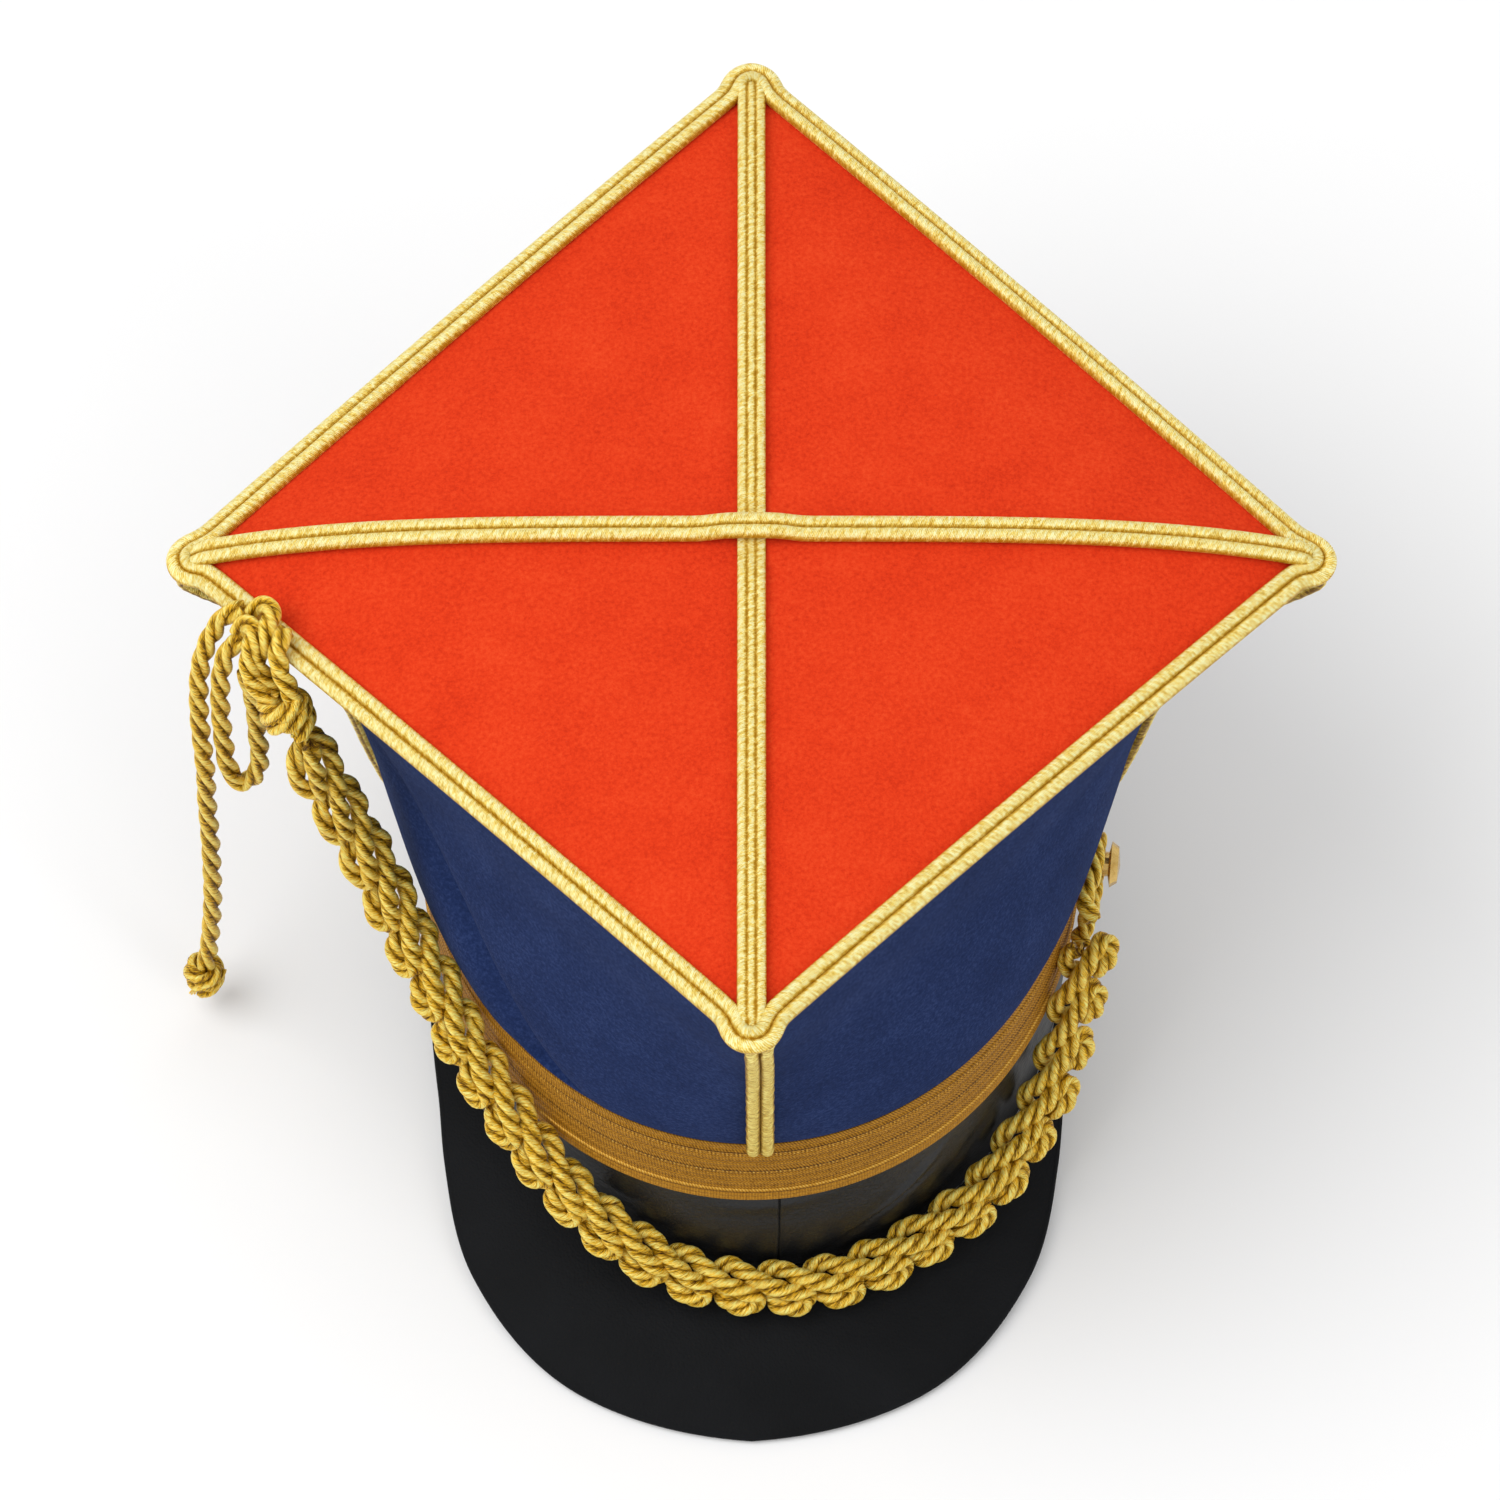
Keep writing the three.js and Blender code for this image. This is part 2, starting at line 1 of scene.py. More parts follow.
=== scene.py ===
"""Looks of a square-topped dress cap: felt, leather, galloon, gold cords and a plaited festoon.

Metres, +Z up, visor towards -Y. The cap's own shapes are worked out upright, in its own frame, and
leaned back as it rests. Free cords are worked out where they hang.
"""

import json

import bpy
import numpy as np
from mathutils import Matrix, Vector


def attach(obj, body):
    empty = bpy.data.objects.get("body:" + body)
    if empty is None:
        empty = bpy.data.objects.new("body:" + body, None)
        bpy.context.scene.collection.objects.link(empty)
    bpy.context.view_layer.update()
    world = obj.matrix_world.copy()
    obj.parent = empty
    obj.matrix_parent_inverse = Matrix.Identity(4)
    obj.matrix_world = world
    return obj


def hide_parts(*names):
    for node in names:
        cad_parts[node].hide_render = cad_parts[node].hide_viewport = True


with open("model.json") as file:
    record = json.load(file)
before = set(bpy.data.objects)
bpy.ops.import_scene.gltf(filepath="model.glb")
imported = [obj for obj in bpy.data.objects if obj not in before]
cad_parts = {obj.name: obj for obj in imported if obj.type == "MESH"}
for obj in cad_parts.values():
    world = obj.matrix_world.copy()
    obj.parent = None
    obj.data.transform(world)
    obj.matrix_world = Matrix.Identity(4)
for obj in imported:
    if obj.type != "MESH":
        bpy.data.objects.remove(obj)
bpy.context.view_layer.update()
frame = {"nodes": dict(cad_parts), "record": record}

# Camera
CAMERA_TARGET = Vector((-0.0004, -0.0034, 0.1137))
CAMERA_ELEVATION = np.radians(62.86)
CAMERA_DISTANCE = 2.3
CAMERA_LENS = 203.5

# Headband: an oval, whose half sizes are taken outside
OVAL_SIDE = 0.0872
OVAL_FRONT = 0.1047
OVAL_GROW = 0.0034
LEATHER_TOP = 0.0462
GALLOON_BOTTOM = 0.0465
GALLOON_TOP = 0.0765
GALLOON_WALL = 0.0024
LEATHER_WALL = 0.0025
FELT_WALL = 0.0023
GAP = 0.00035

# Square top, whose corners point forwards, back and to both sides
TOP_CENTRE = 0.2115
TOP_CORNER = 0.154
SIDE_DROOP = 0.0154
FRONT_DROOP = 0.005
EDGE_BOW = 1.8
EAR_RADIUS = 0.0075
BOARD_INSET = 0.0045
BODY_INSET = 0.003
BOARD_THICKNESS = 0.003
BODY_TOP = TOP_CENTRE - BOARD_THICKNESS - GAP
QUARTER = np.pi / 2

# Felt body from the galloon up: height, half width at the side and front ridges, and the power of
# the section, from 2, an ellipse, to 1, a square standing on its corner
BODY_LEVELS = np.array(
    [
        (0.047, 0.0872, 0.1047, 2),
        (0.0768, 0.0872, 0.1047, 2),
        (0.0776, 0.0898, 0.1076, 2),
        (0.082, 0.0928, 0.11, 1.94),
        (0.091, 0.0965, 0.1125, 1.82),
        (0.108, 0.101, 0.1165, 1.62),
        (0.13, 0.1058, 0.1215, 1.42),
        (0.155, 0.114, 0.129, 1.22),
        (0.176, 0.126, 0.1375, 1.1),
        (0.194, 0.14, 0.144, 1.02),
        (0.203, 0.147, 0.148, 1),
    ]
)

# Slack valley in the felt of the left front panel: angles in degrees, heights and depth in metres
FOLD_ANGLES = (191, 238)
FOLD_HEIGHTS = (0.16, 0.079)
FOLD_WIDTH = 5
FOLD_DEPTH = 0.005

# Round ribs side by side, of which the sewn cords are made
RIB_RADIUS = 0.0019
RIB_SPACING = 0.0036
RIM_TILT = 0.3
FRONT_CORD_ASIDE = np.radians(1)
NARROW_RIB_RADIUS = 0.00145
NARROW_RIB_SPACING = 0.0023

# Grooves of the two and three ribs, where shade is painted into the colour, as places around the
# cord's outline and half widths
DOUBLE_GROOVES = [(0, 0.0014), (0.00535, 0.0013), (0.0107, 0.0014)]
TRIPLE_GROOVES = [(0, 0.0011), (0.0036, 0.0008), (0.00626, 0.0008), (0.00987, 0.0011)]

# Visor: it is arched upwards by so much where it is so wide. The table gives its width at bearings
# from the front, in degrees
VISOR_SLOPE = np.radians(22)
VISOR_THICKNESS = 0.0026
VISOR_LIFT = 0.0012
VISOR_OFF = 0.0002
VISOR_ARCH = 0.0015
VISOR_ARCH_WIDTH = 0.05
VISOR_HALF_ANGLE = 82
VISOR_WIDTHS = np.array(
    [(0, 0.047), (20, 0.0436), (40, 0.0315), (55, 0.017), (65, 0.0093), (75, 0.0055), (82, 0.004)]
)

# Free cords
TWIST_DIAMETER = 0.0053
TWIST_PITCH = -0.0155
STRAND_STEP = 0.0006
PLIES = 3
PLY_SIDES = 9
PLY_SWELL = 1.06
PLY_GIRTH = 2 * np.pi * PLY_SWELL * TWIST_DIAMETER / 2 / (1 + 1 / np.sin(np.pi / PLIES))
PLAIT_ROUTE = [
    (-0.1191, -0.0371, 0.1871),
    (-0.117, -0.0375, 0.179),
    (-0.1139, -0.0377, 0.166),
    (-0.1098, -0.0388, 0.15),
    (-0.1052, -0.0404, 0.133),
    (-0.0994, -0.0446, 0.115),
    (-0.0922, -0.0538, 0.0995),
    (-0.0853, -0.0641, 0.091),
    (-0.078, -0.0762, 0.0827),
    (-0.0698, -0.0872, 0.0745),
    (-0.0628, -0.0954, 0.067),
    (-0.0553, -0.1026, 0.058),
    (-0.044, -0.1109, 0.046),
    (-0.0305, -0.1174, 0.035),
    (-0.0141, -0.1217, 0.0265),
    (0.0023, -0.1233, 0.024),
    (0.0188, -0.1217, 0.023),
    (0.0353, -0.1155, 0.0225),
    (0.0519, -0.1049, 0.023),
    (0.0643, -0.096, 0.026),
    (0.0718, -0.0864, 0.0295),
    (0.0784, -0.0769, 0.034),
    (0.0831, -0.0693, 0.0405),
    (0.0867, -0.061, 0.05),
    (0.0894, -0.0542, 0.0625),
    (0.0917, -0.0472, 0.072),
    (0.0938, -0.0414, 0.0775),
]
HANGING_ROUTE = [
    (-0.1321, -0.0147, 0.2158),
    (-0.1344, -0.0149, 0.2152),
    (-0.137, -0.0151, 0.2127),
    (-0.1396, -0.0158, 0.208),
    (-0.1422, -0.0182, 0.203),
    (-0.1444, -0.0205, 0.194),
    (-0.1454, -0.022, 0.182),
    (-0.1458, -0.0235, 0.1696),
    (-0.1458, -0.024, 0.1561),
    (-0.1458, -0.0245, 0.1413),
    (-0.1464, -0.0245, 0.1253),
    (-0.1467, -0.0245, 0.1072),
    (-0.1473, -0.0245, 0.0859),
    (-0.1483, -0.0245, 0.0642),
    (-0.1505, -0.0245, 0.0389),
    (-0.1525, -0.0245, 0.0236),
]
LOOP_ROUTE = [
    (-0.1311, -0.0209, 0.2093),
    (-0.134, -0.0207, 0.209),
    (-0.1366, -0.022, 0.2055),
    (-0.1385, -0.0234, 0.1975),
    (-0.1396, -0.0244, 0.1836),
    (-0.1399, -0.0246, 0.1705),
    (-0.1399, -0.0246, 0.156),
    (-0.1393, -0.0245, 0.1432),
    (-0.1365, -0.0244, 0.1361),
    (-0.1328, -0.0243, 0.1397),
    (-0.1309, -0.0242, 0.1497),
    (-0.1308, -0.0242, 0.1625),
    (-0.1306, -0.0245, 0.1763),
    (-0.1309, -0.0252, 0.1902),
    (-0.1317, -0.0262, 0.202),
]
HOOK_LOOP_ROUTE = [
    (0.0934, -0.0386, 0.0808),
    (0.0914, -0.0356, 0.0828),
    (0.0912, -0.031, 0.083),
    (0.0932, -0.0251, 0.0812),
    (0.0946, -0.0162, 0.0794),
    (0.095, -0.012, 0.0773),
    (0.095, -0.01, 0.072),
    (0.095, -0.0128, 0.0675),
    (0.0947, -0.0173, 0.0655),
    (0.0936, -0.0253, 0.0653),
    (0.0916, -0.0333, 0.0657),
    (0.0902, -0.0372, 0.0662),
    (0.0911, -0.04, 0.0664),
]


# How the cap rests: its lower rim's middle and the lean of its axis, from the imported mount
RIM = next(mount for mount in frame["record"]["mounts"] if mount["name"] == "lower_rim")
LEAN = np.arctan2(-RIM["axis"][1], -RIM["axis"][2])
STANDS_AT = np.array((0, RIM["pos_m"][1], RIM["pos_m"][2]))


def leaned(points):
    """Points of the upright cap turned back about X by the lean and set on the surface."""
    x, y, z = np.moveaxis(points, -1, 0)
    back = y * np.cos(LEAN) + z * np.sin(LEAN)
    up = z * np.cos(LEAN) - y * np.sin(LEAN)
    return np.stack([x, back, up], -1) + STANDS_AT


# Shapes of the cap


def through(table, column, place):
    """A column of a table at places along its first column: a cubic between two rows, whose slope
    at a row is the harmonic mean of the slopes beside it, or 0 where these differ in sign."""
    x, y = table[:, 0], table[:, column]
    steep = np.diff(y) / np.diff(x)
    before, after = steep[:-1], steep[1:]
    total = np.where(before + after == 0, 1, before + after)
    middle = np.where(before * after > 0, 2 * before * after / total, 0)
    slope = np.concatenate([steep[:1], middle, steep[-1:]])
    row = np.clip(np.searchsorted(x, place, side="right") - 1, 0, len(x) - 2)
    span = x[row + 1] - x[row]
    t = np.clip((place - x[row]) / span, 0, 1)
    return (
        (2 * t**3 - 3 * t**2 + 1) * y[row]
        + (t**3 - 2 * t**2 + t) * span * slope[row]
        + (3 * t**2 - 2 * t**3) * y[row + 1]
        + (t**3 - t**2) * span * slope[row + 1]
    )


def top_radius(angle, inset, radius=EAR_RADIUS):
    """Outline of the square top at an angle, moved inwards: a square standing on its corner, whose
    corners are circles of the ear's radius."""
    straight = (TOP_CORNER - inset * np.sqrt(2)) / (np.abs(np.cos(angle)) + np.abs(np.sin(angle)))
    off = angle - np.round(angle / QUARTER) * QUARTER
    centre = TOP_CORNER - radius
    reach = (radius - inset) ** 2 - (centre * np.sin(off)) ** 2
    ear = centre * np.cos(off) + np.sqrt(np.maximum(reach, 0))
    return np.where((reach > 0) & (inset < radius), np.maximum(straight, ear), straight)


def droop(x, y):
    """Height that the top loses: the fourth power of the reach |x| + |y|, most at the sides."""
    reach = np.maximum(np.abs(x) + np.abs(y), 1e-9)
    sideways = (np.abs(x) / reach) ** EDGE_BOW
    return (FRONT_DROOP + (SIDE_DROOP - FRONT_DROOP) * sideways) * (reach / TOP_CORNER) ** 4


def top_height(x, y):
    return TOP_CENTRE - droop(x, y)


def polar(radius, angle, height):
    return np.stack(np.broadcast_arrays(radius * np.cos(angle), radius * np.sin(angle), height), -1)


def fold_depth(angle, up):
    """Depth of the valley: a bell curve across it, which fades in below its upper end."""
    share = (FOLD_HEIGHTS[0] - up) / (FOLD_HEIGHTS[0] - FOLD_HEIGHTS[1])
    middle = FOLD_ANGLES[0] + (FOLD_ANGLES[1] - FOLD_ANGLES[0]) * np.clip(share, 0, 1)
    off = (np.degrees(angle) % 360 - middle) / FOLD_WIDTH
    fade = np.clip(share * 2, 0, 1) * (up >= FOLD_HEIGHTS[1])
    return FOLD_DEPTH * fade * np.exp(-(off**2))


def body_point(angle, up, inset):
    """Outside of the felt body, moved inwards: a superellipse whose half widths and power follow
    the table, which eases into the square top's outline above the last row, less the fold."""
    side, front, power = (through(BODY_LEVELS, column, up) for column in (1, 2, 3))
    across, along = np.abs(np.cos(angle)) / side, np.abs(np.sin(angle)) / front
    radius = (across**power + along**power) ** (-1 / power) - fold_depth(angle, up)
    last = BODY_LEVELS[-1, 0]
    ease = np.clip((up - last) / (BODY_TOP - last), 0, 1)
    radius = radius + (top_radius(angle, BODY_INSET) - radius) * ease
    lowered = np.clip((up - GALLOON_TOP) / (BODY_TOP - GALLOON_TOP), 0, 1) ** 2
    height = up - droop(radius * np.cos(angle), radius * np.sin(angle)) * lowered
    return polar(radius - inset, angle, height)


def oval_point(angle, up, out):
    """Point beside the headband's oval, which grows with height up to the galloon."""
    grow = OVAL_GROW * np.minimum(up, GALLOON_BOTTOM) / GALLOON_BOTTOM + out
    x, y = (OVAL_SIDE + grow) * np.cos(angle), (OVAL_FRONT + grow) * np.sin(angle)
    return np.stack(np.broadcast_arrays(x, y, up), -1)


# Meshes


def unit(vectors):
    return vectors / np.linalg.norm(vectors, axis=-1, keepdims=True)


def swept(sections, ring=False):
    """Closed mesh over an array of sections, (count, points, 3): every section is a closed outline,
    and the row of them is joined in a ring or filled at both ends. Gives vertices, faces and the
    faces' UVs, which run in metres around the section and along the row."""
    count, around = sections.shape[:2]
    spans = count if ring else count - 1
    i, j = np.meshgrid(np.arange(spans), np.arange(around), indexing="ij")
    corner_i = np.stack([i, i, i + 1, i + 1], -1).reshape(-1, 4)
    corner_j = np.stack([j, j + 1, j + 1, j], -1).reshape(-1, 4)
    faces = (corner_i % count * around + corner_j % around).tolist()
    step_round = np.linalg.norm(np.roll(sections, -1, 1) - sections, axis=-1).mean(0)
    step_along = np.linalg.norm(np.roll(sections, -1, 0) - sections, axis=-1).mean(1)
    u = np.concatenate([[0], np.cumsum(step_round)])
    v = np.concatenate([[0], np.cumsum(step_along)])
    uvs = np.stack([u[corner_j], v[corner_i]], -1).reshape(-1, 2)
    if not ring:
        first = np.arange(around)
        faces += [first[::-1].tolist(), (first + (count - 1) * around).tolist()]
        ends = np.stack([u[first], np.zeros(around)], -1)
        uvs = np.concatenate([uvs, ends[::-1], ends + (0, v[count - 1])])
    middle = sections.mean(1, keepdims=True)
    turn = np.cross(sections - middle, np.roll(sections, -1, 1) - middle).sum(1)
    travel = np.roll(middle, -1, 0)[:, 0] - middle[:, 0]
    if (turn[:spans] * travel[:spans]).sum() < 0:
        faces = [face[::-1] for face in faces]
        quads = uvs[: spans * around * 4].reshape(-1, 4, 2)[:, ::-1].reshape(-1, 2)
        ends = uvs[spans * around * 4 :].reshape(-1, around, 2)[:, ::-1].reshape(-1, 2)
        uvs = np.concatenate([quads, ends])
    return sections.reshape(-1, 3), faces, uvs


# Edges that turn by more than this are shaded sharp
SHARP_ANGLE = np.radians(50)


def piece(name, meshes, finish, replaced):
    """One object from swept meshes, with its finish and the nodes that it stands for."""
    vertices, faces, start = [], [], 0
    for points, quads, _ in meshes:
        vertices.append(points)
        faces += [[corner + start for corner in face] for face in quads] if start else quads
        start += len(points)
    mesh = bpy.data.meshes.new(name)
    mesh.from_pydata(np.concatenate(vertices), [], faces)
    layer = mesh.uv_layers.new(name="metres")
    layer.data.foreach_set("uv", np.concatenate([uvs for _, _, uvs in meshes]).ravel())
    mesh.shade_smooth()
    mesh.set_sharp_from_angle(angle=SHARP_ANGLE)
    mesh.materials.append(finish)
    made = bpy.data.objects.new(name, mesh)
    bpy.context.scene.collection.objects.link(made)
    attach(made, "root")
    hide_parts(*replaced)
    return made


# Materials


class Value:
    """A number that varies over a material, as a socket: arithmetic on it adds Math nodes."""

    def __init__(self, finish, socket):
        self.finish = finish
        self.socket = socket

    def math(self, operation, *others):
        return self.finish.math(operation, self, *others)

    def __add__(self, other):
        return self.math("ADD", other)

    def __sub__(self, other):
        return self.math("SUBTRACT", other)

    def __mul__(self, other):
        return self.math("MULTIPLY", other)

    def __truediv__(self, other):
        return self.math("DIVIDE", other)

    def __rsub__(self, other):
        return self.finish.math("SUBTRACT", other, self)

    __radd__ = __add__
    __rmul__ = __mul__

    def wave(self):
        """Sine of a phase in turns, from 0 to 1."""
        return (self * (2 * np.pi)).math("SINE") * 0.5 + 0.5

    def bell(self, middle, half):
        """1 at the middle and 0 from a half width off it: 1 less the square of the way."""
        off = (self - middle) / half
        return (1 - off * off).math("MAXIMUM", 0)


class Finish:
    """A material on the Principled shader. Constants are set on its sockets."""

    def __init__(self, name, **constants):
        self.material = bpy.data.materials.new(name)
        self.material.use_nodes = True
        self.tree = self.material.node_tree
        self.shader = self.tree.nodes["Principled BSDF"]
        for socket, constant in constants.items():
            self.shader.inputs[socket.replace("_", " ")].default_value = constant

    def node(self, kind, settings, inputs):
        """A node of a kind: its settings are set first, then its sockets' numbers and links."""
        node = self.tree.nodes.new(kind)
        for key, setting in settings.items():
            if key == "stops":
                ramp = node.color_ramp
                while len(ramp.elements) < len(setting):
                    ramp.elements.new(0.5)
                for element, (place, colour) in zip(ramp.elements, setting):
                    element.position = place
                    element.color = (*colour, 1)
            else:
                setattr(node, key, setting)
        for key, given in inputs.items():
            self.feed(node.inputs[key], given)
        return node

    def feed(self, socket, given):
        if isinstance(given, Value):
            self.tree.links.new(given.socket, socket)
        elif isinstance(given, bpy.types.NodeSocket):
            self.tree.links.new(given, socket)
        else:
            socket.default_value = given

    def value(self, kind, settings, inputs, output):
        return Value(self, self.node(kind, settings, inputs).outputs[output])

    def math(self, operation, *values):
        return self.value("ShaderNodeMath", {"operation": operation}, dict(enumerate(values)), 0)

    def place(self):
        """Object coordinates, as a vector socket."""
        return self.node("ShaderNodeTexCoord", {}, {}).outputs["Object"]

    def uv(self):
        """The piece's own map, in metres around and along it."""
        vector = self.node("ShaderNodeUVMap", {"uv_map": "metres"}, {}).outputs["UV"]
        split = self.node("ShaderNodeSeparateXYZ", {}, {"Vector": vector})
        return Value(self, split.outputs["X"]), Value(self, split.outputs["Y"])

    def noise(self, vector, size, detail=2, rough=0.5):
        """Noise from 0 to 1, whose lumps are about as wide as size, in metres."""
        inputs = {"Vector": vector, "Scale": 1 / size, "Detail": detail, "Roughness": rough}
        return self.value("ShaderNodeTexNoise", {}, inputs, "Fac")

    def ramp(self, value, *stops):
        return self.node("ShaderNodeValToRGB", {"stops": stops}, {"Fac": value}).outputs["Color"]

    def colour(self, socket):
        self.feed(self.shader.inputs["Base Color"], socket)

    def rough(self, value):
        self.feed(self.shader.inputs["Roughness"], value)

    def bump(self, height, depth, strength=1.0):
        """Bump by a height from 0 to 1, whose full depth is in metres."""
        inputs = {"Height": height, "Distance": depth, "Strength": strength}
        normal = self.node("ShaderNodeBump", {}, inputs).outputs["Normal"]
        self.feed(self.shader.inputs["Normal"], normal)


# Felt: widths of its tufts, its clouds and its matted fibres
TUFT_SIZE = 0.0011
CLOUD_SIZE = 0.018
FIBRE_SIZE = 0.0007


def felt(name, dark, middle, light):
    """Dense wool felt: short matted fibres that lie every way, in lighter and darker tufts."""
    made = Finish(name, Sheen_Weight=0.01, Sheen_Roughness=0.6, Specular_IOR_Level=0.04)
    place = made.place()
    tufts = made.noise(place, TUFT_SIZE, 3, 0.7)
    clouds = made.noise(place, CLOUD_SIZE, 2)
    tone = tufts * 0.75 + clouds * 0.25
    made.colour(made.ramp(tone, (0.3, dark), (0.5, middle), (0.72, light)))
    made.rough(0.95 - tufts * 0.15)
    made.bump(made.noise(place, FIBRE_SIZE, 4, 0.75) + clouds * 0.4, 0.0004, 0.6)
    return made.material


# Gold thread: how far its turns wander and over what length, the width of its glints, which are
# painted highlights, and how much they are drawn out, and the width and reach of the ragged edges
# of the painted shade in its grooves
WANDER_SIZE = 0.0013
WANDER_TURNS = 1.4
PAINTED_GLINT_SIZE = 0.0011
PAINTED_GLINT_DRAWN = 0.45
RAGGED_SIZE = 0.0008
RAGGED_REACH = 0.0006


def thread_gold(name, colours, metallic, winding, slant, grooves):
    """Gold thread wound round a core: fine turns across the cord, each one a little lighter or
    darker than the next, with glints painted into the colour as highlights, drawn out along the turns,
    and painted shade in the grooves, which are given as places around the cord and half widths."""
    shade, gold, shine = colours
    made = Finish(name, Metallic=metallic, Specular_IOR_Level=0.3)
    around, along = made.uv()
    place = made.place()
    slanted = along + around * slant
    turns = (slanted / winding + made.noise(place, WANDER_SIZE, 2) * WANDER_TURNS).wave()
    thread = made.node("ShaderNodeCombineXYZ", {}, {0: around * PAINTED_GLINT_DRAWN, 1: slanted})
    # Painted highlights: glints of lighter colour, drawn out along the turns
    painted_glint = (made.noise(thread.outputs["Vector"], PAINTED_GLINT_SIZE, 3, 0.75) - 0.5) * 3.6 + 0.5
    # Painted shade: the colour darkens in the grooves, between and beside the ribs and plies
    ragged = made.noise(place, RAGGED_SIZE, 2) * (2 * RAGGED_REACH) - RAGGED_REACH
    painted_groove_shade = sum((around + ragged).bell(middle, half) for middle, half in grooves)
    tone = turns * 0.3 + painted_glint * 0.56 - painted_groove_shade * 0.5 + 0.2
    # The ramp runs from a painted shade colour through gold to a painted highlight colour
    made.colour(made.ramp(tone, (0.12, shade), (0.5, gold), (0.84, shine)))
    made.rough(0.34 + turns * 0.12)
    made.bump(turns * 0.6 + painted_glint * 0.5, 0.00026, 0.9)
    return made.material


# Galloon's rows, in metres up from its lower edge: two smooth threads, a dotted thread in the
# middle, a dotted pair near the top, the dark lines beside them and two rows of leaning stitches
GALLOON_SMOOTH = (0.0053, 0.0063)
GALLOON_DOTTED = (0.0168, 0.0266, 0.0276)
GALLOON_DARK = (0.0047, 0.0181, 0.0286)
GALLOON_ROWS = (0.0108, 0.0225)
GALLOON_LOWER_EDGE = 0.0048

# Half widths of its threads, its dotted threads and its rows
GALLOON_THREAD_HALF = 0.0005
GALLOON_DOTTED_HALF = 0.0006
GALLOON_ROW_HALF = 0.0011

# Lengths after which its stitches, leaning stitches, ribs, lower edge's turns and dots repeat, and
# the width of its glints, which are painted highlights
GALLOON_STITCH = 0.0009
GALLOON_LEANING = 0.0011
GALLOON_WALE = 0.00105
GALLOON_TURN = 0.0008
GALLOON_DOT = 0.0012
GALLOON_PAINTED_GLINT = 0.0009

# Its colours, from the darkest thread to the brightest, each after its place on the ramp
GALLOON_TONES = (
    (0.1, (0.06, 0.02, 0.002)),
    (0.42, (0.34, 0.15, 0.011)),
    (0.66, (0.56, 0.27, 0.025)),
    (1, (0.9, 0.62, 0.16)),
)


def galloon_gold():
    """Woven gold braid: ribs along it, crossed by fine slanted stitches that lean the other way
    from row to row, with smooth and dotted bright threads and dark lines between them."""
    made = Finish("galloon_weave", Metallic=0.4, Specular_IOR_Level=0.15)
    around, along = made.uv()
    place = made.place()
    rows = sum(around.bell(row, GALLOON_ROW_HALF) for row in GALLOON_ROWS)
    stitches = ((along + around * 0.7) / GALLOON_STITCH).wave()
    leaning = ((along - around * 1.6) / GALLOON_LEANING).wave()
    wale = (around / GALLOON_WALE).wave()
    cross = (along / GALLOON_TURN).wave()
    lower = (GALLOON_LOWER_EDGE - around).math("SIGN") * 0.5 + 0.5
    weave = stitches * (1 - rows) + leaning * rows
    weave = weave * (1 - lower) + cross * lower
    # Painted highlights: lighter and darker specks in the colour stand in for glints on the gold
    # threads
    painted_glint = (made.noise(place, GALLOON_PAINTED_GLINT, 3, 0.8) - 0.5) * 1.8 + 0.5
    smooth = sum(around.bell(row, GALLOON_THREAD_HALF) for row in GALLOON_SMOOTH)
    dots = (along / GALLOON_DOT).wave() * 1.2 - 0.2
    dotted = sum(around.bell(row, GALLOON_DOTTED_HALF) for row in GALLOON_DOTTED) * dots
    dark = sum(around.bell(row, GALLOON_THREAD_HALF) for row in GALLOON_DARK)
    tone = weave * (0.28 - lower * 0.14) + wale * (1 - lower) * 0.12 + painted_glint * 0.36 + lower * 0.2 + 0.04
    tone = tone + smooth * 0.26 + dotted * 0.34 - dark * 0.42
    made.colour(made.ramp(tone, *GALLOON_TONES))
    made.rough(0.55 - tone * 0.15)
    made.bump(weave * 0.4 + wale * 0.5 + painted_glint * 0.3 + smooth + dotted - dark, 0.00025, 0.8)
    return made.material


# Leather: widths of its patches and its wrinkles
PATCH_SIZE = 0.03
WRINKLE_SIZE = 0.004


def leather(name, grain, rough, gloss):
    """Black leather: a fine grain of small cells, with softer and shinier patches that wrinkle."""
    made = Finish(name, Specular_IOR_Level=gloss)
    place = made.place()
    inputs = {"Vector": place, "Scale": 1 / grain}
    cells = made.value("ShaderNodeTexVoronoi", {"feature": "SMOOTH_F1"}, inputs, "Distance")
    patches = made.noise(place, PATCH_SIZE, 3)
    made.colour(made.ramp(patches, (0.3, (0.0053, 0.0056, 0.0062)), (0.7, (0.0085, 0.009, 0.0102))))
    made.rough(rough + patches * 0.15)
    wrinkles = made.noise(place, WRINKLE_SIZE, 4, 0.65) * patches
    made.bump(cells * 0.6 + made.noise(place, grain * 3, 3) * 0.4 + wrinkles * 2, 0.00025, 0.8)
    return made.material


# Brass: widths of its tarnished and its rubbed spots
TARNISH_SIZE = 0.004
RUB_SIZE = 0.001


def brass():
    """Polished brass: darker where it is tarnished, and a little rubbed."""
    made = Finish("polished_brass", Metallic=1.0)
    place = made.place()
    tarnish = made.noise(place, TARNISH_SIZE)
    made.colour(made.ramp(tarnish, (0.3, (0.55, 0.33, 0.08)), (0.7, (0.8, 0.56, 0.2))))
    made.rough(made.noise(place, RUB_SIZE) * 0.15 + 0.2)
    return made.material


RED_FELT = felt("red_felt", (0.57, 0.028, 0.0065), (0.72, 0.043, 0.0095), (0.81, 0.07, 0.017))
BLUE_FELT = felt("blue_felt", (0.007, 0.0155, 0.058), (0.0125, 0.026, 0.092), (0.028, 0.05, 0.15))
GALLOON = galloon_gold()
BAND_LEATHER = leather("band_leather", 0.0011, 0.33, 0.3)
VISOR_LEATHER = leather("visor_leather", 0.0007, 0.55, 0.07)
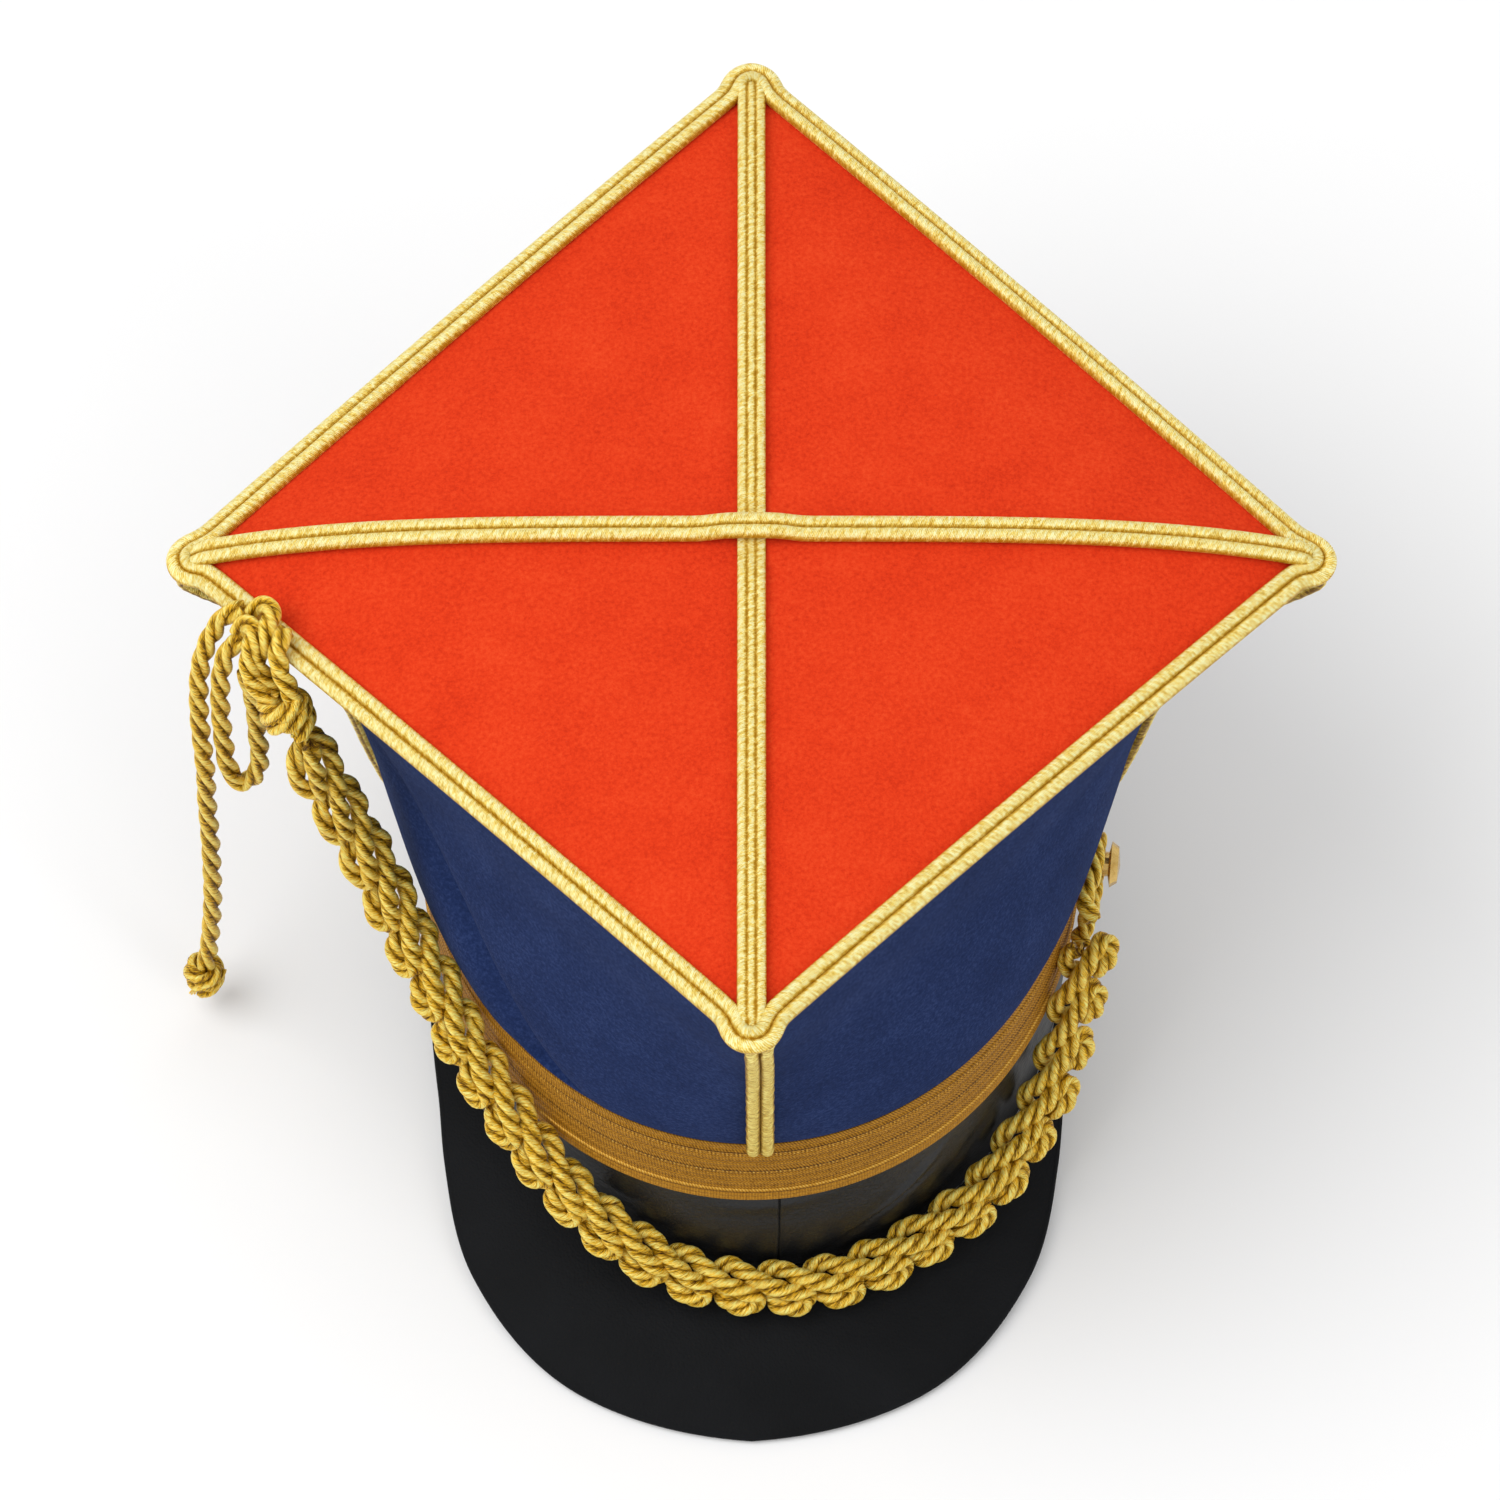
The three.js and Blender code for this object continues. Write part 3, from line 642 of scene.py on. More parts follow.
# Thread colours: painted shade, gold and painted highlight, from the dark to the bright end of the ramp
BRAID_COLOURS = (0.54, 0.27, 0.006), (0.92, 0.67, 0.12), (1.0, 0.96, 0.5)
DULL_COLOURS = (0.16, 0.07, 0.003), (0.7, 0.44, 0.04), (1.0, 0.88, 0.3)
TWIST_COLOURS = (0.08, 0.022, 0), (0.97, 0.55, 0.012), (1.0, 0.94, 0.3)
# Painted shade on the inner side of each ply, where it lies against the others: middle and half width
PLY_INNER_SHADE = PLY_GIRTH / 2, PLY_GIRTH * 0.42
DOUBLE_GOLD = thread_gold("double_braid", BRAID_COLOURS, 0.12, 0.00045, 0.35, DOUBLE_GROOVES)
TRIPLE_GOLD = thread_gold("triple_braid", BRAID_COLOURS, 0.12, 0.00045, 0.35, TRIPLE_GROOVES)
EDGE_GOLD = thread_gold("edge_braid", DULL_COLOURS, 0.2, 0.0006, 0.35, DOUBLE_GROOVES)
TWIST_GOLD = thread_gold("twist_thread", TWIST_COLOURS, 0.3, 0.0007, 1.2, [PLY_INNER_SHADE])


# Free cords


def drawn(route, step):
    """A smooth line through a route's points: a Catmull-Rom curve, cut into even steps."""
    points = np.array(route)
    ends = np.concatenate([[2 * points[0] - points[1]], points, [2 * points[-1] - points[-2]]])
    t = np.linspace(0, 1, 24, endpoint=False)[:, None]
    a, b, c, d = (ends[k : len(ends) - 3 + k, None] for k in range(4))
    squared, cubed = 2 * a - 5 * b + 4 * c - d, 3 * b - a - 3 * c + d
    curve = 0.5 * (2 * b + (c - a) * t + squared * t**2 + cubed * t**3)
    line = np.concatenate([curve.reshape(-1, 3), points[-1:]])
    return evened(line, step)


def evened(line, step):
    """The same line with points an even step apart."""
    long = lengths(line)
    count = max(int(round(long[-1] / step)), 2)
    places = np.linspace(0, long[-1], count + 1)
    return np.stack([np.interp(places, long, line[:, axis]) for axis in range(3)], -1)


def lengths(line):
    return np.concatenate([[0], np.cumsum(np.linalg.norm(np.diff(line, axis=0), axis=1))])


def carried(line, first):
    """Tangents along a line, and a direction square to them that is carried along without twist:
    at each step it loses only the part that points along the line."""
    tangents = unit(np.gradient(line, axis=0))
    side = np.empty_like(line)
    direction = np.array(first, float)
    for k, tangent in enumerate(tangents):
        direction = direction - tangent * (direction @ tangent)
        direction = direction / np.linalg.norm(direction)
        side[k] = direction
    return tangents, side, np.cross(tangents, side)


def round_sections(centres, side, other, radius, sides):
    """Circles round centres, each as a polygon in the plane of two directions."""
    turn = np.linspace(0, 2 * np.pi, sides, endpoint=False)[:, None]
    return centres[:, None] + radius * (side[:, None] * np.cos(turn) + other[:, None] * np.sin(turn))


def drawn_out(line):
    """Lengths along a line for its twist and its loops, which open where it hangs steeply: each
    step counts by the sine of its angle to the face of the plait."""
    steps = np.cross(np.diff(line, axis=0), unit(PLAIT_FACE))
    return np.concatenate([[0], np.cumsum(np.linalg.norm(steps, axis=1))])


def twisted(line, diameter=TWIST_DIAMETER, turns=None):
    """Three plies laid round a line: each ply touches the other two, and its middle runs in a helix
    round the line. Its round section stands square to that helix. The lengths that the twist goes
    by may be given."""
    _, side, other = carried(line, (0, 1, 0))
    turn = 2 * np.pi * (drawn_out(line) if turns is None else turns) / TWIST_PITCH
    radius = diameter / 2 / (1 + 1 / np.sin(np.pi / PLIES))
    made = []
    for ply in range(PLIES):
        phase = (turn + 2 * np.pi * ply / PLIES)[:, None]
        outwards = side * np.cos(phase) + other * np.sin(phase)
        centres = line + outwards * (diameter / 2 - radius)
        along = unit(np.gradient(centres, axis=0))
        outwards = unit(outwards - along * (outwards * along).sum(-1, keepdims=True))
        aside = np.cross(along, outwards)
        made.append(swept(round_sections(centres, outwards, aside, radius * PLY_SWELL, PLY_SIDES)))
    return made


# Chain plait: one twisted cord in loops that lie over each other. The table is one unit of its
# middle, in metres: ahead along the plait, across it and out of its face
PLAIT_UNIT = 0.0136
PLAIT_START = 0.0105
PLAIT_END = 0.005
PLAIT_ROUTE_STEP = 0.001
PLAIT_STRAND_STEP = 0.0008
PLAIT_FACE = np.array((0, -0.46, 0.89))
PLAIT_LOOP = np.array(
    [
        (-0.0090, 0.0022, 0.0028),
        (-0.0040, 0.0002, 0.0032),
        (0.0008, -0.0010, 0.0024),
        (0.0042, -0.0024, 0.0006),
        (0.0033, -0.0047, -0.0004),
        (0.0000, -0.0054, -0.0002),
        (-0.0037, -0.0042, -0.0008),
        (-0.0056, -0.0010, -0.0024),
        (-0.0068, 0.0020, -0.0031),
        (-0.0067, 0.0046, -0.0016),
        (-0.0034, 0.0056, -0.0002),
        (0.0002, 0.0042, 0.0015),
    ]
)


def plait_strand(line):
    """The cord of the plait along a line: the unit's points again and again, joined by a smooth
    curve and set off from the line along its tangent, across it and out of its face. Also gives
    the lengths along that curve."""
    tangents = unit(np.gradient(line, axis=0))
    out = unit(PLAIT_FACE - tangents * (tangents @ PLAIT_FACE)[:, None])
    long = drawn_out(line)
    spare = long[-1] - PLAIT_START - PLAIT_END
    units = int(round(spare / PLAIT_UNIT))
    starts = PLAIT_START + spare * np.arange(units + 1) / units
    rows = np.concatenate([PLAIT_LOOP + (start, 0, 0) for start in starts])
    path = drawn(rows[(rows[:, 0] > 0) & (rows[:, 0] < long[-1])], PLAIT_STRAND_STEP)

    def at(columns):
        return np.stack([np.interp(path[:, 0], long, columns[:, axis]) for axis in range(3)], -1)

    across = unit(at(np.cross(out, tangents)))
    return at(line) + across * path[:, 1:2] + unit(at(out)) * path[:, 2:], lengths(path)


def free_cord(name, route, with_pieces=()):
    line = drawn(route, STRAND_STEP)
    made = piece(name, twisted(line), TWIST_GOLD, [name.replace("_strand", "")])


def cords():
    knot = corner_knot()
    line = drawn(PLAIT_ROUTE, PLAIT_ROUTE_STEP)
    strand, turns = plait_strand(line)
    meshes = twisted(strand, turns=turns)
    plait = piece("festoon_strand", meshes, TWIST_GOLD, ["festoon_plait"])
    free_cord("hook_loop_strand", HOOK_LOOP_ROUTE)
    free_cord("hanging_loop_strand", LOOP_ROUTE)
    free_cord("hanging_cord_strand", HANGING_ROUTE, [end_knot()])


# Strands of the knot that is slung over the rim, each a list of points
KNOT_STRANDS = [
    [
        (-0.1300, -0.0150, 0.2150),
        (-0.1265, -0.0150, 0.2185),
        (-0.1245, -0.0185, 0.2200),
        (-0.1262, -0.0235, 0.2172),
        (-0.1282, -0.0262, 0.2112),
        (-0.1270, -0.0285, 0.2050),
        (-0.1235, -0.0305, 0.2000),
    ],
    [
        (-0.1335, -0.0190, 0.2120),
        (-0.1310, -0.0190, 0.2160),
        (-0.1290, -0.0225, 0.2172),
        (-0.1305, -0.0270, 0.2120),
        (-0.1300, -0.0300, 0.2060),
        (-0.1262, -0.0330, 0.2005),
        (-0.1225, -0.0352, 0.1960),
    ],
    [
        (-0.1205, -0.0225, 0.2190),
        (-0.1225, -0.0265, 0.2180),
        (-0.1225, -0.0300, 0.2130),
        (-0.1205, -0.0325, 0.2070),
        (-0.1190, -0.0345, 0.2010),
        (-0.1175, -0.0365, 0.1950),
        (-0.1180, -0.0380, 0.1900),
    ],
]
KNOT_WRAP_CENTRE = (-0.1215, -0.0345, 0.1965)
KNOT_WRAP_AXIS = (0.25, -0.35, -0.9)
KNOT_WRAP_RADIUS = 0.0048
KNOT_WRAP_TURNS = 2.2
KNOT_WRAP_RISE = 0.0040


def square_to(axis):
    """Two directions square to an axis and to each other."""
    side = unit(np.cross(axis, (0, 1, 0)))
    return side, np.cross(axis, side)


def helix(start, axis, radius, turn, rise):
    """Points round an axis, at angles round it and at rises along it from its start."""
    side, other = square_to(axis)
    middle = start + axis * rise[:, None]
    return middle + radius * (side * np.cos(turn)[:, None] + other * np.sin(turn)[:, None])


def corner_knot():
    """The strands that lie over the rim, and a wrap of the same cord round them: a short helix."""
    meshes = []
    for points in KNOT_STRANDS:
        meshes += twisted(drawn(points, STRAND_STEP))
    turn = np.linspace(0, 2 * np.pi * KNOT_WRAP_TURNS, int(80 * KNOT_WRAP_TURNS))
    rise = (turn / turn[-1] - 0.5) * KNOT_WRAP_TURNS * KNOT_WRAP_RISE
    axis = unit(np.array(KNOT_WRAP_AXIS))
    wrap = helix(np.array(KNOT_WRAP_CENTRE), axis, KNOT_WRAP_RADIUS, turn, rise)
    meshes += twisted(evened(wrap, STRAND_STEP))
    return piece("corner_knot_strands", meshes, TWIST_GOLD, ["corner_knot"])


# Knot at the hanging cord's end, in metres below it: where the helix starts and how long it is,
# the end of its core, and the start and lowest end of the loose threads
END_KNOT_START = 0.002
END_KNOT_LONG = 0.007
END_CORE_END = 0.0115
END_TIP_START = 0.0105
END_TIP_DROP = 0.0165

# Its cord's diameter, the helix, and the loose threads: how many, how far out and how thick
END_KNOT_CORD = 0.0046
END_KNOT_RADIUS = 0.0037
END_KNOT_TURNS = 2.3
END_TIP_THREADS = 26
END_TIP_NARROW = 0.0014
END_TIP_SPREAD = 0.0024
END_THREAD_RADIUS = 0.00028


def end_knot():
    """Overhand knot at the hanging cord's end: a short helix of the cord round its own line, which
    runs on as a core, and a tip of loose threads that spread downwards."""
    end, before = np.array(HANGING_ROUTE[-1]), np.array(HANGING_ROUTE[-2])
    along = unit(end - before)
    side, other = square_to(along)
    turn = np.linspace(0, 2 * np.pi * END_KNOT_TURNS, 200)
    wrap = helix(end, along, END_KNOT_RADIUS, turn, END_KNOT_START + END_KNOT_LONG * turn / turn[-1])
    core = end + along * np.linspace(0, END_CORE_END, 24)[:, None]
    meshes = twisted(evened(wrap, STRAND_STEP), END_KNOT_CORD) + twisted(core, END_KNOT_CORD)
    draw = np.random.default_rng(5)
    for angle, lean, reach in draw.uniform((0, 0.05, 0.7), (2 * np.pi, 1, 1), (END_TIP_THREADS, 3)):
        share = np.linspace(0, 1, 9)[:, None]
        aside = (side * np.cos(angle) + other * np.sin(angle)) * lean
        thread = end + along * (END_TIP_START + (END_TIP_DROP - END_TIP_START) * share * reach)
        thread = thread + aside * (END_TIP_NARROW + END_TIP_SPREAD * share**1.5)
        _, first, second = carried(thread, side)
        meshes.append(swept(round_sections(thread, first, second, END_THREAD_RADIUS, 5)))
    return piece("cord_end_knot_strands", meshes, TWIST_GOLD, ["cord_end_knot"])


# Sewn cords


def rib_outline(ribs, radius, spacing, steps=9):
    """Outline of round ribs side by side, across and up: the arcs over them from right to left,
    which meet where neighbours cross, and the same arcs below on the way back."""
    join = np.arccos(spacing / 2 / radius)
    arcs = []
    for k in range(ribs):
        centre = ((ribs - 1) / 2 - k) * spacing
        turn = np.linspace(0 if k == 0 else join, np.pi if k == ribs - 1 else np.pi - join, steps)
        arc = np.stack([centre + radius * np.cos(turn), radius * np.sin(turn)], -1)
        arcs.append(arc if k == ribs - 1 else arc[:-1])
    upper = np.concatenate(arcs)
    return np.concatenate([upper, upper[-2:0:-1] * (1, -1)])


DOUBLE = rib_outline(2, RIB_RADIUS, RIB_SPACING)
TRIPLE = rib_outline(3, NARROW_RIB_RADIUS, NARROW_RIB_SPACING)


def corded(centres, across, up, outline):
    """Sections of an outline that stand on centres, spread across and up."""
    return centres[:, None] + across[:, None] * outline[:, :1] + up[:, None] * outline[:, 1:]


RIDGE_CROWDING = 0.235


def ridge_angles(count):
    """Angles round the cap, a count of them in each quarter, closer together at the corners."""
    t = np.linspace(0, 2 * np.pi, count * 4, endpoint=False)
    return t - RIDGE_CROWDING * np.sin(4 * t)


# Rim cord: radius of its ears, reach of the curve that eases it, the steps of its line, and how
# far it is pressed into the felt
RIM_EAR_RADIUS = 0.0088
RIM_SMOOTHED = 0.0032
RIM_STEP = 0.0008
RIM_PRESSED = 0.0005


def rim_cord():
    """Cord round the top's edge and its ears: the outline is eased by a bell curve along it, and
    the two ribs stand square to it."""
    angle = ridge_angles(260)
    middle = RIB_RADIUS + RIB_SPACING / 2
    outline = polar(top_radius(angle, middle, RIM_EAR_RADIUS), angle, 0.0)
    outline = evened(np.concatenate([outline, outline[:1]]), RIM_STEP)[:-1]
    apart = np.minimum(np.arange(len(outline)), len(outline) - np.arange(len(outline))) * RIM_STEP
    bell = np.exp(-((apart / RIM_SMOOTHED) ** 2))
    spread = np.fft.fft(bell / bell.sum())[:, None]
    centres = np.fft.ifft(np.fft.fft(outline, axis=0) * spread, axis=0).real
    centres[:, 2] = top_height(centres[:, 0], centres[:, 1]) + RIB_RADIUS - RIM_PRESSED
    along = unit((np.roll(centres, -1, 0) - np.roll(centres, 1, 0)) * (1, 1, 0))
    up = np.array((0, 0, 1))
    across = np.cross(along, up)
    tilted = across * np.cos(RIM_TILT) - up * np.sin(RIM_TILT)
    lifted = up * np.cos(RIM_TILT) + across * np.sin(RIM_TILT)
    meshes = [swept(leaned(corded(centres, tilted, lifted, DOUBLE)), True)]
    return piece("rim_cord_braid", meshes, DOUBLE_GOLD, ["rim_cord"])


# Cords across the top: how far they reach, half the length of the hump where they cross and what
# is left of the lower one's height there, and the share of their length over which they end, with
# what they lose there in height and width
CROSS_OVERLAP = 0.0006
CROSS_REACH = top_radius(0.0, 2 * RIB_RADIUS + RIB_SPACING) + CROSS_OVERLAP
CROSS_HUMP = 0.011
CROSS_FLAT = 0.35
CROSS_END = 0.03
CROSS_END_LOWER = 0.5
CROSS_END_NARROWER = 0.25


def cross_cord(name, along, across, outline, over):
    """Cord across the top: its height follows the top, and at the crossing the lower one is pressed
    flat in a bell curve while the upper one lifts over it by the same curve."""
    share = np.linspace(-1, 1, 561)
    centres = share[:, None] * CROSS_REACH * np.array(along)
    bell = np.exp(-((share * CROSS_REACH / CROSS_HUMP) ** 4))
    end = 1 - np.clip((1 - np.abs(share)) / CROSS_END, 0, 1)
    flat = 1 - CROSS_END_LOWER * end**2
    flat = flat if over else flat * (1 - (1 - CROSS_FLAT) * bell)
    lift = (2 * outline[:, 1].max() * CROSS_FLAT + GAP) * bell if over else 0
    height = outline[:, 1].max() * flat + lift + GAP
    centres = centres + (0, 0, 1) * (top_height(centres[:, 0], centres[:, 1]) + height)[:, None]
    wide = np.array(across) * (1 - CROSS_END_NARROWER * end**2)[:, None]
    up = np.array((0, 0, 1)) * flat[:, None]
    meshes = [swept(leaned(corded(centres, wide, up, outline)))]
    return piece(f"{name}_braid", meshes, DOUBLE_GOLD if over else TRIPLE_GOLD, [name])


# Cords down the ridges: how far their ends lie above the galloon and above the body, the lengths
# over which the upper end spreads and the lower one is flattened, and by how much
EDGE_CORD_START = 0.0016
EDGE_CORD_RISE = 0.0012
EDGE_CORD_FRAY = 0.006
EDGE_CORD_SPREAD = 0.3
EDGE_CORD_TUCK = 0.005
EDGE_CORD_FLATTER = 0.65

# Share of the front cord's way aside that it has at its upper end, and that it gains downwards
EDGE_ASIDE_ABOVE = 0.5
EDGE_ASIDE_GAIN = 0.7

# Ripples in the cords' width, as shares of it and lengths, and half the arc that they lie across
EDGE_RIPPLES = ((0.03, 0.0093), (0.02, 0.0037))
EDGE_HALF_ARC = np.radians(2)


def edge_cord(side, ridge, aside):
    """Cord down a ridge, from under the rim's ear, where its cut end spreads, to the galloon, where
    it is pressed flat."""
    up = np.linspace(GALLOON_TOP + EDGE_CORD_START, BODY_TOP + EDGE_CORD_RISE, 300)
    down = (BODY_TOP - up) / (BODY_TOP - GALLOON_TOP)
    angle = ridge + aside * (EDGE_ASIDE_ABOVE + EDGE_ASIDE_GAIN * down)
    held = np.minimum(up, BODY_LEVELS[-1, 0])
    points = body_point(angle, held, 0) + (0, 0, 1) * (up - held)[:, None]
    along = unit(np.gradient(points, axis=0))
    left, right = (body_point(angle + way * EDGE_HALF_ARC, held, 0) for way in (1, -1))
    across = unit(left - right)
    normal = unit(np.cross(across, along))
    thin = 1 - EDGE_CORD_FLATTER * np.clip(1 - (up - up[0]) / EDGE_CORD_TUCK, 0, 1)
    centres = points + normal * (RIB_RADIUS * thin + GAP)[:, None]
    fray = np.clip(1 - (up[-1] - up) / EDGE_CORD_FRAY, 0, 1) ** 2
    ripple = sum(share * np.sin(up * 2 * np.pi / long) for share, long in EDGE_RIPPLES)
    across = across * (1 + EDGE_CORD_SPREAD * fray + ripple)[:, None]
    name = f"edge_cord_{side}"
    meshes = [swept(leaned(corded(centres, across, normal * thin[:, None], DOUBLE)))]
    return piece(f"{name}_braid", meshes, EDGE_GOLD, [name])


# Felt, leather and galloon

# Board: rings above and below, and the place of the innermost, as a share of its outline
BOARD_RINGS = 90
BOARD_RINGS_BELOW = 12
BOARD_MIDDLE = 0.004


def crown_top():
    """Domed board: rings from the middle to its edge, and back below it."""
    angle = ridge_angles(72)
    above = np.linspace(BOARD_MIDDLE, 1, BOARD_RINGS)
    share = np.concatenate([above, np.linspace(1, BOARD_MIDDLE, BOARD_RINGS_BELOW)])
    drop = np.where(np.arange(len(share)) < BOARD_RINGS, 0, BOARD_THICKNESS)
    rings = polar(share[:, None] * top_radius(angle, BOARD_INSET), angle, 0.0)
    rings[..., 2] = top_height(rings[..., 0], rings[..., 1]) - drop[:, None]
    return piece("crown_top_felt", [swept(leaned(rings))], RED_FELT, ["crown_top"])


# Panels: half the gap between two, how much closer their angles come at the ridges, and a height
# behind the galloon
SEAM_HALF = np.radians(0.1)
PANEL_CROWDING = 0.13
PANEL_HIDDEN = 0.062


def body_panel(side, ridge):
    """Felt panel between two ridges: its outline goes up outside and down inside. Its angles are
    closer together at the ridges."""
    share = np.linspace(0, 1, 61)
    share = share - PANEL_CROWDING * np.sin(2 * np.pi * share)
    angle = ridge + SEAM_HALF + (QUARTER - 2 * SEAM_HALF) * share
    foot, lip, swell = BODY_LEVELS[:3, 0]
    up = np.concatenate([[foot, PANEL_HIDDEN, lip], np.linspace(swell, BODY_TOP, 70)])
    outside = body_point(angle[:, None], up, 0)
    inside = body_point(angle[:, None], up[::-1], FELT_WALL)
    sections = np.concatenate([outside, inside], 1)
    name = f"crown_panel_{side}"
    return piece(f"{name}_felt", [swept(leaned(sections))], BLUE_FELT, [name])


# Galloon's outside: its ribs, and its raised threads as places, widths and heights. The places and
# widths here are shares of the galloon's own height
GALLOON_RIBS = 22
GALLOON_RIB_DEPTH = 0.00012
GALLOON_RAISED = ((0.56, 0.018, 0.0005), (0.17, 0.02, 0.0006), (0.91, 0.018, 0.0004))

# Its lower edge, from its foot to where it fades, its rounded upper edge, and its spare inside
GALLOON_FOOT = 0.01
GALLOON_EDGE = 0.13
GALLOON_EDGE_OUT = 0.0004
GALLOON_ROUND = 0.025
GALLOON_ROUND_IN = 0.0006
GALLOON_SPARE = 0.0005


def gold_band():
    """Galloon: outside, ribs in a sine along its height, three raised threads in bell curves, a
    thicker lower edge and a rounded upper one."""
    share = np.linspace(0, 1, 150)
    up = GALLOON_BOTTOM + (GALLOON_TOP - GALLOON_BOTTOM) * share
    out = GALLOON_RIB_DEPTH * np.cos(2 * np.pi * GALLOON_RIBS * share) - GALLOON_RIB_DEPTH
    for middle, width, height in GALLOON_RAISED:
        out = out + height * np.exp(-(((share - middle) / width) ** 2))
    edge = np.clip(1 - share / GALLOON_EDGE, 0, 1) ** 0.5 * (share > GALLOON_FOOT)
    rounded = np.clip((share - 1 + GALLOON_ROUND) / GALLOON_ROUND, 0, 1) ** 2
    out = out + GALLOON_EDGE_OUT * edge - GALLOON_ROUND_IN * rounded
    angle = np.linspace(0, 2 * np.pi, 420, endpoint=False)[:, None]
    outside = oval_point(angle, up, out)
    inside = oval_point(angle, up[::-10], -GALLOON_WALL - GALLOON_SPARE)
    sections = np.concatenate([outside, inside], 1)
    return piece("gold_band_weave", [swept(leaned(sections), True)], GALLOON, ["gold_band"])


# Headband's outside: heights, and how far it stands out of its oval there
LEATHER_OUT = np.array(
    [(0, -0.0004), (0.003, 0.0004), (0.024, 0.0003), (0.038, -0.0012), (LEATHER_TOP, -0.002)]
)

# Its front seam: bearing and half width, depth, height of the ridges beside it and how many times
# wider than the seam these are
FRONT_SEAM = np.radians(-85.2)
SEAM_WIDTH = 0.004
SEAM_DEPTH = 0.0002
SEAM_RIM = 0.0008
SEAM_RIM_WIDER = 2.5

# Creases in the headband's leather: bearings in degrees and heights of both ends, half width and
# depth, which is below 0 for a fold that stands out
CREASES = [
    (-80, 0.006, -52, 0.034, 0.0022, 0.0013),
    (-76, 0.012, -50, 0.04, 0.0024, -0.0009),
    (-104, 0.038, -72, 0.041, 0.0035, -0.0007),
    (-128, 0.012, -108, 0.028, 0.003, 0.0008),
    (-60, 0.012, -38, 0.036, 0.0028, 0.001),
]


def crease_depth(angle, up):
    """Depth of the creases: each is a bell curve across a straight line in bearing and height,
    which fades out towards both ends as the square of a sine."""
    total = 0
    for first, low, last, high, half, depth in CREASES:
        share = (np.degrees(angle) - first) / (last - first)
        off = (up - low - (high - low) * share) / half
        total = total + depth * np.sin(np.pi * np.clip(share, 0, 1)) ** 2 * np.exp(-(off**2))
    return total


def leather_band():
    """Headband: a bulging wall with soft creases, and the front seam as a narrow groove between
    two low ridges."""
    up = np.linspace(0, LEATHER_TOP, 60)
    angle = np.linspace(-np.pi, np.pi, 1260, endpoint=False)[:, None]
    out = through(LEATHER_OUT, 1, up)
    off = (angle - FRONT_SEAM) / SEAM_WIDTH
    ridge = SEAM_RIM * np.exp(-((off / SEAM_RIM_WIDER) ** 2))
    seam = ridge - (SEAM_DEPTH + SEAM_RIM) * np.exp(-(off**2))
    outside = oval_point(angle, up, out + seam - crease_depth(angle, up))
    inside = oval_point(angle, up[::-4], out[::-4] - LEATHER_WALL)
    meshes = [swept(leaned(np.concatenate([outside, inside], 1)), True)]
    return piece("leather_band_hide", meshes, BAND_LEATHER, ["leather_band"])


def visor():
    """Crescent that leaves the headband square to its oval: its section goes out along the sloped
    top, round the edge in a half circle and back below."""
    bearing = np.linspace(-VISOR_HALF_ANGLE, VISOR_HALF_ANGLE, 241)
    turn = np.radians(bearing)
    start = oval_point(turn - QUARTER, 0.0, VISOR_OFF + GAP)
    side, front = OVAL_SIDE + VISOR_OFF + GAP, OVAL_FRONT + VISOR_OFF + GAP
    outwards = unit(start / (side**2, front**2, 1))
    width = through(VISOR_WIDTHS, 1, np.abs(bearing))
    half = VISOR_THICKNESS / 2
    share = np.linspace(0, 1, 40)
    run = share * (width[:, None] * np.cos(VISOR_SLOPE) - half)
    arch = VISOR_ARCH * np.sin(np.pi * share) * width[:, None] / VISOR_ARCH_WIDTH
    fall = np.tan(VISOR_SLOPE) * run - arch
    edge = np.linspace(QUARTER, -QUARTER, 12)[1:-1]
    tip_out = run[:, -1:] + half * np.cos(edge)
    tip_fall = fall[:, -1:] + half * (1 - np.sin(edge))
    out = np.concatenate([run, tip_out, run[:, ::-1]], 1)
    down = np.concatenate([fall, tip_fall, fall[:, ::-1] + VISOR_THICKNESS], 1)
    sections = start[:, None] + outwards[:, None] * out[..., None]
    sections[..., 2] = VISOR_LIFT - down
    return piece("visor_hide", [swept(leaned(sections))], VISOR_LEATHER, ["visor"])


def cap():
    crown_top()
    for quarter, side in enumerate(("back_right", "back_left", "front_left", "front_right")):
        body_panel(side, quarter * QUARTER)
    gold_band()
    leather_band()
    visor()
    rim_cord()
    cross_cord("cross_cord_side", (1, 0, 0), (0, 1, 0), DOUBLE, True)
    cross_cord("cross_cord_front", (0, 1, 0), (1, 0, 0), TRIPLE, False)
    for quarter, side in enumerate(("right", "back", "left", "front")):
        edge_cord(side, quarter * QUARTER, FRONT_CORD_ASIDE if side == "front" else 0)
    hook = frame["nodes"]["cord_hook"]
    hook.data.materials.clear()
    hook.data.materials.append(brass())


# Studio

FLOOR_HALF = 6
FLOOR_CLOUDS = 0.5
SKY_STRENGTH = 0.74

